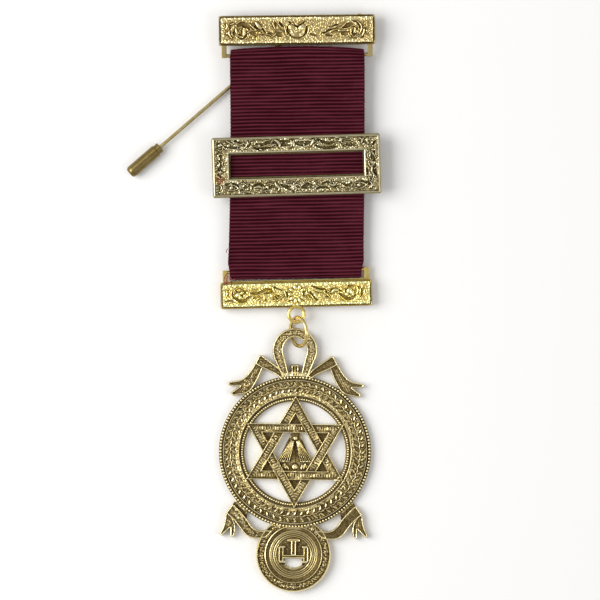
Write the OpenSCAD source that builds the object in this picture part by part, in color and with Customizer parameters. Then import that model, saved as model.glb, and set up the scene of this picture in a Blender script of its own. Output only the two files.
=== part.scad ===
// A chapter jewel that lies on a flat surface: a brooch bar with a stick pin, a ribbed ribbon with an open slide
// frame, a lower bar, a jump ring and a cast, pierced pendant. Millimetres. X runs to the right across the ribbon,
// Y from the pendant up to the brooch bar, and Z up from the surface. The origin is the centre of the pendant's
// large ring, on its flat back.

/* [Ribbon] */
// Width of the ribbon
ribbon_w = 32; // [30:0.1:32.4]
// Thickness of one layer of the folded ribbon
ribbon_t = 1; // [0.9:0.05:1.05]
// Distance between the rods that the ribbon is folded round
rod_span = 51.2; // [46:0.1:60]
// Distance from one cross rib to the next
rib_pitch = 0.85; // [0.7:0.01:1.2]
// Depth of the valley between two ribs
rib_d = 0.16; // [0.05:0.01:0.25]
// Length over which the two layers close up behind a rod
fold_taper = 6; // [4:0.5:10]
// Sideways drift of the ribbon's middle from the lower rod to the upper one
ribbon_drift = 1.35; // [0:0.05:1.4]

/* [Bars] */
// Width of the upper bar
top_w = 37.1; // [37:0.1:40]
// Height of the upper bar
top_h = 7.1; // [6.6:0.1:9]
// Width of the lower bar
low_w = 36; // [36:0.1:39]
// Height of the lower bar
low_h = 6.3; // [6:0.1:8]
// Thickness of both bars
bar_t = 2.3; // [2:0.1:2.8]
// Width of the step round a bar's edge
bar_step = 0.3; // [0.2:0.05:0.5]
// Width of a bar's raised rim
bar_rim = 0.45; // [0.3:0.05:0.6]
// Depth of a bar's sunk field
field_d = 0.45; // [0.3:0.05:0.7]
// Radius of the rods in the ribbon's folds
rod_r = 0.45; // [0.35:0.01:0.47]
// Distance from a bar's edge to the rod
rod_off = 2.4; // [2.2:0.1:3.2]
// Width of a bracket's leg
leg_w = 1.2; // [0.9:0.1:1.2]
// Turn of the upper bar as it lies, in degrees
top_turn = 0.7; // [0.6:0.1:1.2]
// Turn of the lower bar as it lies, in degrees
low_turn = 1.5; // [1:0.1:1.6]

/* [Slide frame] */
// Width of the slide frame
slide_w = 40; // [39:0.1:42]
// Height of the slide frame
slide_h = 14.3; // [13.5:0.1:17]
// Width of its window
window_w = 32.3; // [29:0.1:32.4]
// Height of its window
window_h = 6.1; // [5.2:0.1:6.8]
// Thickness of the frame
slide_t = 1.6; // [1.3:0.1:2.2]
// Width of the ledge at the back of its window
ledge_w = 0.4; // [0.2:0.05:0.5]
// Thickness of the strap behind the ribbon
strap_t = 0.7; // [0.5:0.05:0.8]
// Height of the strap behind the ribbon
strap_h = 4; // [3:0.1:6]
// Distance of the frame's middle above the lower rod
slide_up = 25; // [20:0.5:28]
// Turn of the slide frame as it lies, in degrees
slide_turn = 1.7; // [1:0.1:1.8]

/* [Rings] */
// Outer radius of the eye under the lower bar
eye_r = 2.2; // [2.15:0.05:2.6]
// Wire thickness of the eye
eye_wire = 0.75; // [0.6:0.01:0.76]
// Outer radius of the jump ring
jump_r = 3.85; // [3.8:0.05:3.95]
// Wire thickness of the jump ring
jump_wire = 0.8; // [0.7:0.01:0.82]
// Angle at which the jump ring leans, in degrees
jump_lean = 57; // [56:0.5:61]

/* [Pendant] */
// Outer radius of the large ring
ring_r = 18.3; // [17.8:0.1:19]
// Radius of the large ring's opening
ring_hole_r = 12; // [11.6:0.1:12.4]
// Distance from one rim bead to the next
bead_pitch = 0.72; // [0.6:0.01:1.2]
// Distance from the star's centre to its points
star_r = 13.4; // [13:0.1:13.8]
// Width of a limb of the star
limb_w = 2.2; // [1.9:0.05:2.4]
// Outer radius of the small ring
small_r = 8.9; // [8.6:0.1:9.6]
// Radius of the small ring's well
well_r = 3.7; // [3.4:0.05:3.9]
// Distance from the large ring's centre to the small ring's
small_drop = 24.4; // [24:0.1:25]
// Outer radius of the hanging loop
loop_r = 5.35; // [5.2:0.05:5.6]
// Half the height of the opening in the hanging loop
loop_hole_r = 3.2; // [3.1:0.05:3.4]
// Distance from the large ring's centre to the loop's
loop_up = 24.1; // [23.8:0.1:24.6]
// Thickness of the cast plate
plate_t = 1.7; // [1.5:0.1:2]
// Thickness of the webs that close its recesses
web_t = 0.9; // [0.5:0.1:1.2]
// Thickness of the webs in the star's points
point_web_t = 0.5; // [0.3:0.1:0.8]
// Height of the ridges above the plate
ridge_h = 0.5; // [0.3:0.05:0.8]
// Width of a thin ridge
ridge_w = 0.38; // [0.25:0.01:0.45]
// Turn of the pendant as it lies, in degrees
pendant_turn = -0.9; // [-1.2:0.1:0]

/* [Pin] */
// Radius of the stick pin
pin_r = 0.42; // [0.35:0.01:0.45]
// Length of the pin between its root and the guard
pin_free = 42.3; // [38:0.1:50]
// Angle of the pin below the bar, in degrees
pin_turn = 40.9; // [38:0.1:45]
// Outer radius of the pin guard
guard_r = 1.465; // [1.3:0.005:1.8]
// Length of the pin guard
guard_len = 9.65; // [9:0.05:12]
// Length of pin inside the guard
guard_grip = 7; // [6:0.1:7.5]
// Clearance round the pin in its guard and its socket
pin_clear = 0.05; // [0.02:0.01:0.08]

/* [Hidden] */
$fn = 64;

// Small gaps between pieces and above the surface, the overlap that fuses stacked layers of one casting, and the
// inset of an upper layer from the edge under it
gap = 0.15;
floor_gap = 0.04;
rod_room = 0.2;
sink = 0.1;
draft = 0.05;

// Ribbon: half thickness at a fold and between the folds, and the turn it lies at between its two bars
fold_r = rod_r + rod_room + ribbon_t;
flat_half = ribbon_t + gap;
ribbon_turn = (top_turn + low_turn) / 2;

// Bars: their rounded corners, the height of the lower step, and the bracket legs
corner_r = 0.4;
step_top = 1.25;
leg_inset = 0.6;
leg_past = 0.5;
leg_under = 1.5;

// Pendant: the large ring's zones, measured inwards from each edge, and the heights of beads and ornament
bead_w = 0.7;
ridge_band_w = 0.6;
inner_bead_w = 1.1;
inner_ridge_w = 0.9;
bead_h = 0.3;
bead_notch = 0.16;
orn_h = 0.28;

// Hanging loop: it stands clear of the surface, and its foot carries a keystone
loop_back = 1.25;
loop_raise = 0.25;
loop_ridge_h = 0.2;
loop_lean = 0.9;
loop_foot_x = loop_r * 0.53;
hole_narrow = 0.87;
hole_foot_x = loop_hole_r * 0.48;
foot_in = 1.2;
foot_out = 0.6;
key_w = 2.15;
key_h = 2.45;
key_rise = 0.65;

// Small ring: its rim, pebbled band, the steps down to the well, and the lower tails' drop
small_rim_w = 0.7;
pebble_w = 1.25;
step_n = 4;
step_w = 0.5;
step_d = 0.14;
tail_drop = 0.2;

// Heights of the rods above the surface: the lower fold lies on it, and the pin runs under the upper fold
low_rod_z = fold_r;
boss_r = 2.3;
pin_root_z = 0.75;
pin_root_x = -0.5;
pin_room = 0.38;
top_rod_z = pin_root_z + pin_r + pin_room + fold_r;
rod_rise = 0.4;
slope = asin((top_rod_z - low_rod_z) / rod_span);

// The chain of rings, from the pendant's loop up to the lower bar
jump_mid_r = jump_r - jump_wire / 2;
jump_low = 1.8;
jump_x = 0.85;
jump_y = loop_up + loop_hole_r - jump_low + jump_r - jump_wire;
jump_turn = 6;
jump_z = jump_mid_r * sin(jump_lean) + jump_wire / 2 + floor_gap;
eye_gap = 0.35;
eye_mid_r = eye_r - eye_wire / 2;
eye_x = 0.31;
eye_y = jump_y + jump_r - jump_wire - eye_gap - eye_wire + eye_r;
eye_seat = 0.55;
eye_lift = 0.5;
eye_z = low_rod_z - rod_rise + bar_t / 2 + eye_lift;

// Centres of the lower bar, the rods and the upper bar
low_x = eye_x;
low_y = eye_y + eye_r - eye_seat + low_h / 2;
low_rod_x = low_x - (low_h / 2 + rod_off) * sin(low_turn);
low_rod_y = low_y + (low_h / 2 + rod_off) * cos(low_turn);
rod_run = rod_span * cos(slope);
top_rod_x = low_rod_x + ribbon_drift * cos(ribbon_turn) - rod_run * sin(ribbon_turn);
top_rod_y = low_rod_y + ribbon_drift * sin(ribbon_turn) + rod_run * cos(ribbon_turn);
top_x = top_rod_x - (top_h / 2 + rod_off) * sin(top_turn);
top_y = top_rod_y + (top_h / 2 + rod_off) * cos(top_turn);

// Slide frame: its window sits a little up, and its posts stand outside the ribbon
window_x = 0.05;
window_y = 0.27;
slide_shift = 0.65;
slide_corner_r = 0.6;
slide_rim = 0.4;
spray_inset = 1.6;
ledge_t = 0.5;
post_clear = 1.05;
post_in = ribbon_w / 2 + post_clear;
post_w = (slide_w / 2 - post_in) * 0.4;
post_x = post_in + post_w / 2;
slide_back = flat_half + gap;

// Pin: it rises so that the guard lies on the surface
pin_rise = asin((guard_r + floor_gap - pin_root_z) / pin_free);
pin_seat = 0.6;
pin_tip = 3;
tip_r = 0.08;
neck_r = guard_r - 0.22;
neck_len = 1.2;
neck_edge = 0.15;
bore_past = 0.5;

GILT = [0.86, 0.68, 0.28];
PALE_GILT = [0.84, 0.77, 0.52];
OLD_GILT = [0.62, 0.53, 0.3];
BRASS = [0.62, 0.47, 0.2];
CLOTH = [0.3, 0.03, 0.1];

// Half width of the ribbon along its length: the share of the rod distance, then the share of half the width
RIBBON_SIDE = [
    [-0.06, 0.97],
    [0, 0.98],
    [0.04, 1.008],
    [0.14, 0.998],
    [0.34, 0.99],
    [0.66, 0.985],
    [0.9, 0.99],
    [1, 0.993],
    [1.06, 0.985]
];

// Outlines of the pendant's ribbon ends on the left side: x and y as shares of the large ring's radius, then 1
// for a sharp corner or 0 where the outline bends softly
UPPER_BAND = [
    [-0.14, 0.99, 1],
    [-0.2, 1.07, 0],
    [-0.31, 1.15, 0],
    [-0.45, 1.25, 1],
    [-0.485, 1.245, 1],
    [-0.54, 1.137, 1],
    [-0.436, 1.079, 0],
    [-0.281, 1.012, 0],
    [-0.2, 0.95, 1]
];
UPPER_TAIL = [
    [-0.527, 1.165, 1],
    [-0.606, 1.03, 0],
    [-0.68, 0.945, 0],
    [-0.765, 0.912, 0],
    [-0.855, 0.9, 0],
    [-0.895, 0.875, 0],
    [-0.862, 0.84, 0],
    [-0.732, 0.842, 1],
    [-0.85, 0.758, 1],
    [-0.825, 0.712, 0],
    [-0.743, 0.73, 0],
    [-0.64, 0.748, 0],
    [-0.57, 0.8, 0],
    [-0.485, 0.956, 0],
    [-0.42, 1.12, 1]
];
LOWER_BAND = [
    [-0.26, -1.02, 1],
    [-0.37, -1.022, 0],
    [-0.47, -1.03, 0],
    [-0.55, -0.975, 0],
    [-0.611, -0.878, 0],
    [-0.704, -0.77, 0],
    [-0.769, -0.71, 1],
    [-0.8, -0.688, 1],
    [-0.887, -0.807, 1],
    [-0.788, -0.891, 0],
    [-0.713, -0.985, 0],
    [-0.64, -1.085, 0],
    [-0.555, -1.135, 0],
    [-0.442, -1.136, 1],
    [-0.36, -1.12, 1]
];
LOWER_TAIL = [
    [-0.862, -0.775, 1],
    [-0.893, -0.82, 0],
    [-0.9, -0.93, 0],
    [-0.935, -1.02, 0],
    [-0.965, -1.075, 1],
    [-0.937, -1.105, 1],
    [-0.826, -0.999, 1],
    [-0.825, -1.11, 1],
    [-0.8, -1.13, 0],
    [-0.762, -1.085, 0],
    [-0.757, -0.96, 0],
    [-0.785, -0.895, 1]
];
LOWER_WEB = [
    [-0.796, -0.692, 1],
    [-0.74, -0.6, 1],
    [-0.6, -0.76, 1],
    [-0.611, -0.878, 1],
    [-0.704, -0.77, 1]
];

// Points along a circular arc
function arc(x, y, r, from, to, n) =
    [for (i = [0:n]) let (a = from + (to - from) * i / n) [x + r * cos(a), y + r * sin(a)]];

// A ring's edge with one shallow notch between each two beads
function beaded(r, depth, n) =
    [for (i = [0:2 * n - 1]) let (q = i % 2 == 0 ? r : r - depth, a = 180 * i / n) [q * cos(a), q * sin(a)]];

// An outline with its soft corners cut once, and the smooth outline in millimetres
function quarter(from, to) = [(3 * from[0] + to[0]) / 4, (3 * from[1] + to[1]) / 4, 0];
function softened(rows) =
    [for (i = [0:len(rows) - 1])
        let (before = rows[(i + len(rows) - 1) % len(rows)], after = rows[(i + 1) % len(rows)])
        each rows[i][2] == 1 ? [rows[i]] : [quarter(rows[i], before), quarter(rows[i], after)]];
function outline(rows) = [for (row = softened(softened(rows))) ring_r * [row[0], row[1]]];

module rounded_plate(w, h, r) {
    square([w - 2 * r, h], center = true);
    square([w, h - 2 * r], center = true);
    for (x = [-1, 1], y = [-1, 1]) translate([x * (w / 2 - r), y * (h / 2 - r)]) circle(r);
}

module annulus(outer, inner) {
    difference() {
        circle(outer);
        circle(inner);
    }
}

// Leaf of two arcs, its stalk at the origin
module leaf(len, w, turn) {
    bend_r = (len * len + w * w) / (4 * w);
    rotate(turn) translate([len / 2, 0]) intersection() {
        translate([0, bend_r - w / 2]) circle(bend_r);
        translate([0, w / 2 - bend_r]) circle(bend_r);
    }
}

module blossom(r) {
    circle(r * 0.34);
    for (i = [0:4]) rotate(90 + 72 * i) translate([r * 0.62, 0]) circle(r * 0.33);
}

module scroll_rose(r) {
    annulus(r, r * 0.76);
    annulus(r * 0.54, r * 0.3);
    translate([0, r * 0.42]) square([r * 0.24, r * 0.84], center = true);
}

// Leaves on both sides of a wavy stem that runs from x = 0 to x = len
module spray(len, reach, n) {
    for (i = [0:n - 1]) let (side = i % 2 == 0 ? 1 : -1)
        translate([len * (i + 0.1) / n, -side * reach * 0.1])
            leaf(reach * 1.05, reach * 0.42, side * 42);
    translate([len / 2, 0]) square([len + 2 * sink, reach * 0.16], center = true);
}

// Ornament of a bar: blossom in the middle, scroll roses near the ends, sprays between and outside them
module bar_ornament(w, h) {
    rose_r = h * 0.37;
    rose_x = w * 0.375;
    blossom_r = h * 0.38;
    tip_x = rose_x + rose_r - sink;
    blossom(blossom_r);
    for (side = [0, 1]) mirror([side, 0]) {
        translate([rose_x, -h * 0.02]) scroll_rose(rose_r);
        translate([blossom_r, 0]) spray(rose_x - rose_r - blossom_r, h * 0.3, 4);
        for (turn = [-35, 35]) translate([tip_x, 0]) leaf(h * 0.3, h * 0.13, turn);
    }
}

// A bar with its stepped edge, rim, sunk field and ornament; its back is at z = 0
module bar_plate(w, h) {
    inner_w = w - 2 * bar_step;
    inner_h = h - 2 * bar_step;
    difference() {
        union() {
            linear_extrude(step_top) rounded_plate(w, h, corner_r);
            linear_extrude(bar_t) rounded_plate(inner_w, inner_h, corner_r);
        }
        translate([0, 0, bar_t - field_d]) linear_extrude(field_d + 1)
            square([inner_w - 2 * bar_rim, inner_h - 2 * bar_rim], center = true);
    }
    translate([0, 0, bar_t - field_d - sink]) linear_extrude(field_d + sink) intersection() {
        bar_ornament(inner_w - 2 * bar_rim, inner_h - 2 * bar_rim);
        square([inner_w - 2 * bar_rim, inner_h - 2 * bar_rim], center = true);
    }
}

// Two legs and the rod that carry the ribbon; the rod's middle is at the origin, the bar lies towards +Y
module bracket(w) {
    leg_x = w / 2 - leg_inset - leg_w / 2;
    for (side = [-1, 1]) translate([side * leg_x, (rod_off + leg_under - leg_past) / 2, 0])
        cube([leg_w, rod_off + leg_under + leg_past, 2 * rod_r + sink], center = true);
    rotate([0, 90, 0]) cylinder(h = 2 * leg_x, r = rod_r, center = true);
}

module top_bar() {
    color(GILT) difference() {
        translate([top_rod_x, top_rod_y, top_rod_z]) rotate(top_turn) {
            translate([0, rod_off + top_h / 2, -rod_rise]) bar_plate(top_w, top_h);
            bracket(top_w);
            translate([pin_root_x, rod_off + top_h / 2, -top_rod_z])
                cylinder(h = top_rod_z - rod_rise + sink, r = boss_r);
        }
        along_pin() translate([0, 0, pin_seat - pin_clear]) cylinder(h = 2 * boss_r, r = pin_r + pin_clear);
    }
}

module bottom_bar() {
    color(GILT) {
        translate([low_rod_x, low_rod_y, low_rod_z]) rotate(low_turn + 180) {
            translate([0, rod_off + low_h / 2, -rod_rise]) rotate(180) bar_plate(low_w, low_h);
            bracket(low_w);
        }
        translate([eye_x, eye_y, eye_z]) rotate_extrude() translate([eye_mid_r, 0]) circle(eye_wire / 2);
    }
}

// The ribbon's own frame: the origin is the lower rod's middle, Y runs up the ribbon and Z out of its face
module on_ribbon() {
    translate([low_rod_x, low_rod_y, low_rod_z]) rotate(ribbon_turn) rotate([slope, 0, 0]) children();
}

// Half thickness of the loop at a distance u from the lower rod
function half_t(u) =
    let (d = min(1, min(u, rod_span - u) / fold_taper))
    flat_half + (fold_r - flat_half) * (1 + cos(180 * d)) / 2;

// Face of the ribbon with its ribs, and the smooth inside of the loop
rib_n = round(rod_span / rib_pitch);
RIB = [[0, rib_d], [0.3, 0], [0.7, 0]];
function ribbed_face(side) =
    [for (i = [0:rib_n - 1], s = RIB) let (u = rod_span * (i + s[0]) / rib_n) [u, side * (half_t(u) - s[1])]];
function smooth_face(side) =
    [for (i = [0:12]) let (u = rod_span * (1 - cos(15 * i)) / 2) [u, side * (half_t(u) - ribbon_t)]];
function reversed(points) = [for (i = [len(points) - 1:-1:0]) points[i]];

module loop_section() {
    difference() {
        polygon(concat(ribbed_face(1), arc(rod_span, 0, fold_r, 90, -90, 12),
            reversed(ribbed_face(-1)), arc(0, 0, fold_r, -90, -270, 12)));
        polygon(concat(smooth_face(1), arc(rod_span, 0, fold_r - ribbon_t, 80, -80, 10),
            reversed(smooth_face(-1)), arc(0, 0, fold_r - ribbon_t, -100, -260, 10)));
    }
}

function ribbon_edge(side) =
    [for (s = RIBBON_SIDE) [ribbon_drift * s[0] + side * ribbon_w / 2 * s[1], rod_span * s[0]]];

module ribbon() {
    color(CLOTH) on_ribbon() intersection() {
        rotate([90, 0, 90]) linear_extrude(ribbon_w * 1.25, center = true) loop_section();
        translate([0, 0, -2 * fold_r]) linear_extrude(4 * fold_r)
            polygon(concat(ribbon_edge(1), reversed(ribbon_edge(-1))));
    }
}

// Relief that runs round the slide frame: sprays on the long rails, leaf pairs on the short ones
module slide_ornament() {
    rail_x = (slide_w + window_w) / 4;
    rail_y = (slide_h + window_h) / 4;
    reach = (slide_h - window_h) * 0.2;
    for (side = [-1, 1]) {
        translate([-slide_w / 2 + spray_inset, side * rail_y + window_y / 2])
            spray(slide_w - 2 * spray_inset, reach, 18);
        for (k = [-1:1]) translate([side * rail_x + window_x / 2, k * window_h * 0.38 - reach * 0.25]) {
            for (lean = [-38, 38]) leaf(reach * 1.05, reach * 0.4, 90 + lean);
            circle(reach * 0.2);
        }
        for (k = [-2:2]) translate([k * slide_w * 0.17, side * rail_y + window_y / 2]) circle(reach * 0.4);
    }
}

// The frame's window, made wider or narrower by a margin all round
module window_area(margin) {
    translate([window_x, window_y]) square([window_w + 2 * margin, window_h + 2 * margin], center = true);
}

// The sunk band between the frame's outer and inner rims
module slide_field(margin) {
    difference() {
        square([slide_w - 2 * margin, slide_h - 2 * margin], center = true);
        window_area(margin);
    }
}

// Plain strap behind the ribbon, on a post outside each edge of it
module slide_strap() {
    strap_z = -slide_back - strap_t;
    translate([-post_x - post_w / 2, -strap_h / 2, strap_z]) cube([2 * post_x + post_w, strap_h, strap_t]);
    for (side = [-1, 1]) translate([side * post_x - post_w / 2, -strap_h / 2, strap_z])
        cube([post_w, strap_h, slide_back + sink - strap_z]);
}

module slide_frame() {
    field_z = slide_back + slide_t - field_d;
    color(PALE_GILT) on_ribbon() translate([slide_shift, slide_up, 0]) rotate(slide_turn - ribbon_turn) {
        difference() {
            translate([0, 0, slide_back]) linear_extrude(slide_t)
                rounded_plate(slide_w, slide_h, slide_corner_r);
            translate([0, 0, slide_back + ledge_t]) linear_extrude(slide_t) window_area(0);
            linear_extrude(slide_back + slide_t) window_area(-ledge_w);
            translate([0, 0, field_z]) linear_extrude(slide_t) slide_field(slide_rim);
        }
        translate([0, 0, field_z - sink]) linear_extrude(field_d + sink) intersection() {
            slide_ornament();
            slide_field(slide_rim / 2);
        }
        slide_strap();
    }
}

module jump_ring() {
    color(BRASS) translate([jump_x, jump_y, jump_z]) rotate([0, -jump_lean, jump_turn])
        rotate_extrude() translate([jump_mid_r, 0]) circle(jump_wire / 2);
}

// Zones of the large ring, from its edge inwards
ridge_outer = ring_r - bead_w;
band_outer = ridge_outer - ridge_band_w;
bead_inner = ring_hole_r + inner_bead_w;
band_inner = bead_inner + inner_ridge_w;

module large_ring() {
    n_out = round(2 * PI * ring_r / bead_pitch);
    n_in = round(2 * PI * bead_inner / bead_pitch);
    linear_extrude(plate_t) difference() {
        polygon(beaded(ring_r, bead_notch, n_out));
        circle(ring_hole_r);
    }
    translate([0, 0, plate_t - sink]) linear_extrude(bead_h + sink) {
        difference() {
            polygon(beaded(ring_r - draft, bead_notch, n_out));
            circle(ridge_outer - sink);
        }
        difference() {
            polygon(beaded(bead_inner, bead_notch, n_in));
            circle(ring_hole_r + draft);
        }
    }
    translate([0, 0, plate_t - sink]) linear_extrude(ridge_h + sink) {
        annulus(ridge_outer, band_outer);
        annulus(band_inner, bead_inner - draft);
    }
}

// The lettered band of such jewels is left without words: a plain wreath of paired leaves runs round it
module wreath_band() {
    mid = (band_outer + band_inner) / 2;
    len = (band_outer - band_inner) * 0.62;
    n = 48;
    translate([0, 0, plate_t - sink]) linear_extrude(orn_h + sink)
        for (i = [0:n - 1], side = [-1, 1]) rotate(360 * i / n) translate([mid + side * len * 0.12, 0])
            leaf(len, len * 0.36, side > 0 ? 58 : 122 + 180);
}

// One of the star's two triangles, and the band inside its edge
module triangle(r, turn) {
    rotate(turn) circle(r, $fn = 3);
}

module triangle_band(turn, inset, w) {
    difference() {
        triangle(star_r - 2 * inset, turn);
        triangle(star_r - 2 * (inset + w), turn);
    }
}

// Three of the six places where the triangles cross
module crossings(first) {
    for (i = [0:2]) rotate(first + 120 * i) translate([star_r * 0.3, -star_r * 0.2])
        square([star_r * 0.35, star_r * 0.4]);
}

module star() {
    inner_edge = limb_w - ridge_w;
    linear_extrude(point_web_t) difference() {
        for (turn = [90, -90]) triangle(star_r - 2 * limb_w + sink, turn);
        circle(star_r / 2 - sink);
    }
    linear_extrude(plate_t) for (turn = [90, -90]) triangle_band(turn, 0, limb_w);
    translate([0, 0, plate_t - sink]) linear_extrude(ridge_h + sink) {
        for (k = [0, 1]) difference() {
            for (inset = [0, inner_edge]) triangle_band(k == 0 ? 90 : -90, inset, ridge_w);
            intersection() {
                triangle_band(k == 0 ? -90 : 90, 0, limb_w);
                crossings(k == 0 ? 0 : 60);
            }
        }
    }
}

// Centre device: a pair of open compasses with rays, its knob up, over a small globe
module centre_device() {
    hex_r = star_r / 2 - limb_w;
    foot = hex_r * 0.9;
    linear_extrude(web_t) polygon([
        [-hex_r * 0.2, hex_r + sink], [hex_r * 0.2, hex_r + sink], [foot, -hex_r * 0.5],
        [foot, -hex_r - sink], [-foot, -hex_r - sink], [-foot, -hex_r * 0.5]]);
    linear_extrude(plate_t) {
        translate([0, hex_r * 0.72]) circle(hex_r * 0.2);
        translate([0, -hex_r * 0.8]) circle(hex_r * 0.18);
        for (side = [0, 1]) mirror([side, 0]) {
            polygon([
                [hex_r * 0.06, hex_r * 0.62], [hex_r * 0.2, hex_r * 0.66],
                [foot, -hex_r * 0.5], [hex_r * 0.28, -hex_r * 0.5]]);
            translate([hex_r * 0.3, -hex_r - sink]) square([foot - hex_r * 0.3, hex_r * 0.42]);
        }
    }
    translate([0, 0, plate_t - sink]) linear_extrude(orn_h + sink) {
        translate([0, hex_r * 0.72]) circle(hex_r * 0.13);
        for (side = [0, 1], k = [0:3]) mirror([side, 0]) {
            fan = 0.36 + 0.15 * k;
            polygon([
                [hex_r * 0.11, hex_r * 0.55], [hex_r * 0.16, hex_r * 0.56],
                [hex_r * (fan + 0.07), -hex_r * 0.48], [hex_r * fan, -hex_r * 0.48]]);
        }
        for (side = [0, 1], k = [0:3]) mirror([side, 0])
            translate([hex_r * (0.4 + 0.14 * k), -hex_r * 0.78]) circle(hex_r * 0.055);
    }
}

// Hanging loop: a head, round or narrower than it is high, that runs down into two feet
function loop_outline(r, foot_x, foot_y, narrow) =
    concat([[foot_x, foot_y]], [for (p = arc(0, loop_up, r, -28, 208, 28)) [p[0] * narrow, p[1]]],
        [[-foot_x, foot_y]]);

// The band between the loop's two outlines, or a ridge along one of them
module loop_band(outer, outer_foot, inner, inner_foot, outer_narrow, inner_narrow) {
    difference() {
        polygon(loop_outline(outer, outer_foot, ring_r - foot_in, outer_narrow));
        polygon(loop_outline(inner, inner_foot, ring_r + foot_out, inner_narrow));
    }
}

module hanging_loop() {
    loop_top = plate_t + loop_raise;
    rotate(loop_lean) {
        translate([0, 0, loop_back]) linear_extrude(loop_top - loop_back)
            loop_band(loop_r, loop_foot_x, loop_hole_r, hole_foot_x, 1, hole_narrow);
        translate([0, 0, loop_top - sink]) linear_extrude(loop_ridge_h + sink) {
            loop_band(loop_r, loop_foot_x, loop_r - ridge_w, loop_foot_x - ridge_w, 1, 1);
            loop_band(loop_hole_r + ridge_w, hole_foot_x + ridge_w, loop_hole_r, hole_foot_x,
                hole_narrow, hole_narrow);
        }
        linear_extrude(loop_top) translate([-loop_foot_x, ring_r - foot_in])
            square([2 * loop_foot_x, foot_in + foot_out]);
        linear_extrude(plate_t + key_rise) translate([-key_w / 2, ring_r - foot_in])
            square([key_w, key_h + foot_in]);
    }
}

// A flat ribbon end with a ridge along its outline
module ribbon_end(rows, top) {
    linear_extrude(top) polygon(outline(rows));
    translate([0, 0, top - sink]) linear_extrude(ridge_h * 0.7 + sink) difference() {
        polygon(outline(rows));
        offset(delta = -ridge_w) polygon(outline(rows));
    }
}

module ribbon_ends() {
    for (side = [0, 1]) mirror([side, 0, 0]) {
        linear_extrude(web_t) polygon(outline(LOWER_WEB));
        ribbon_end(UPPER_BAND, plate_t);
        ribbon_end(UPPER_TAIL, plate_t - tail_drop);
        ribbon_end(LOWER_BAND, plate_t);
        ribbon_end(LOWER_TAIL, plate_t - tail_drop);
    }
}

// Small ring: a pebbled band between ridges, steps down to a closed well with a triple tau, and one opening
module triple_tau() {
    bar_w = well_r * 0.19;
    stem_w = well_r * 0.34;
    post_x_tau = well_r * 0.77;
    translate([0, well_r * 0.9]) square([well_r * 0.82, bar_w], center = true);
    translate([0, well_r * 0.42]) square([stem_w, well_r * 1.1], center = true);
    translate([0, -well_r * 0.12]) square([2 * post_x_tau, bar_w], center = true);
    for (side = [-1, 1]) translate([side * post_x_tau, 0]) {
        square([stem_w, well_r * 1.05], center = true);
        for (end = [-1, 1]) translate([0, end * well_r * 0.48]) square([well_r * 0.5, bar_w], center = true);
    }
}

module small_ring() {
    rim_in = small_r - small_rim_w;
    band_in = rim_in - pebble_w;
    translate([0, -small_drop, 0]) {
        for (k = [0:step_n]) linear_extrude(plate_t - (step_n - k) * step_d)
            annulus(small_r, well_r + k * step_w);
        translate([0, 0, plate_t - sink]) linear_extrude(ridge_h + sink) {
            annulus(small_r, rim_in);
            annulus(band_in, band_in - ridge_w);
        }
        difference() {
            linear_extrude(web_t) circle(well_r + sink);
            translate([0, 0, -1]) linear_extrude(web_t + 2) intersection() {
                circle(well_r * 0.86);
                translate([-well_r * 0.56, -well_r]) square([well_r * 1.12, well_r * 0.78]);
            }
        }
        linear_extrude(plate_t) intersection() {
            triple_tau();
            circle(well_r + sink);
        }
    }
}

module pendant() {
    color(OLD_GILT) rotate(pendant_turn) {
        large_ring();
        wreath_band();
        star();
        centre_device();
        hanging_loop();
        ribbon_ends();
        small_ring();
    }
}

// The pin's own frame: the origin is its root under the upper bar and Z runs out along it
module along_pin() {
    translate([top_rod_x, top_rod_y, 0]) rotate(top_turn)
        translate([pin_root_x, rod_off + top_h / 2, pin_root_z])
            rotate([0, 0, 180 + pin_turn - top_turn]) rotate([0, 90 - pin_rise, 0]) children();
}

module stick_pin() {
    shank = pin_free + guard_grip - pin_seat - pin_tip;
    color(BRASS) along_pin() translate([0, 0, pin_seat]) rotate_extrude()
        polygon([[0, 0], [pin_r, 0], [pin_r, shank], [tip_r, shank + pin_tip], [0, shank + pin_tip]]);
}

module pin_guard() {
    round_l = guard_r * 0.7;
    color(BRASS) along_pin() translate([0, 0, pin_free]) difference() {
        rotate_extrude() polygon(concat(
            [[0, 0], [neck_r - neck_edge, 0], [neck_r, neck_edge]],
            [[neck_r, neck_len], [guard_r, neck_len + neck_edge]],
            [for (i = [0:5]) [guard_r - guard_r * 0.45 * (1 - cos(18 * i)),
                guard_len - round_l + round_l * sin(18 * i)]],
            [[0, guard_len]]));
        translate([0, 0, -1]) cylinder(h = guard_grip + bore_past + 1, r = pin_r + pin_clear);
    }
}

top_bar();
ribbon();
slide_frame();
bottom_bar();
jump_ring();
pendant();
stick_pin();
pin_guard();
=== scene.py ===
"""Looks of a chapter jewel that lies on a pale surface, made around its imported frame.

Sizes inside the functions are millimetres in a piece's own frame. Each piece is put in place, in metres,
when its mesh is made.
"""

import math

import bmesh
import bpy
import numpy as np
from bpy.props import FloatProperty, FloatVectorProperty, IntProperty, PointerProperty
from mathutils import Matrix, Vector, geometry


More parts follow.
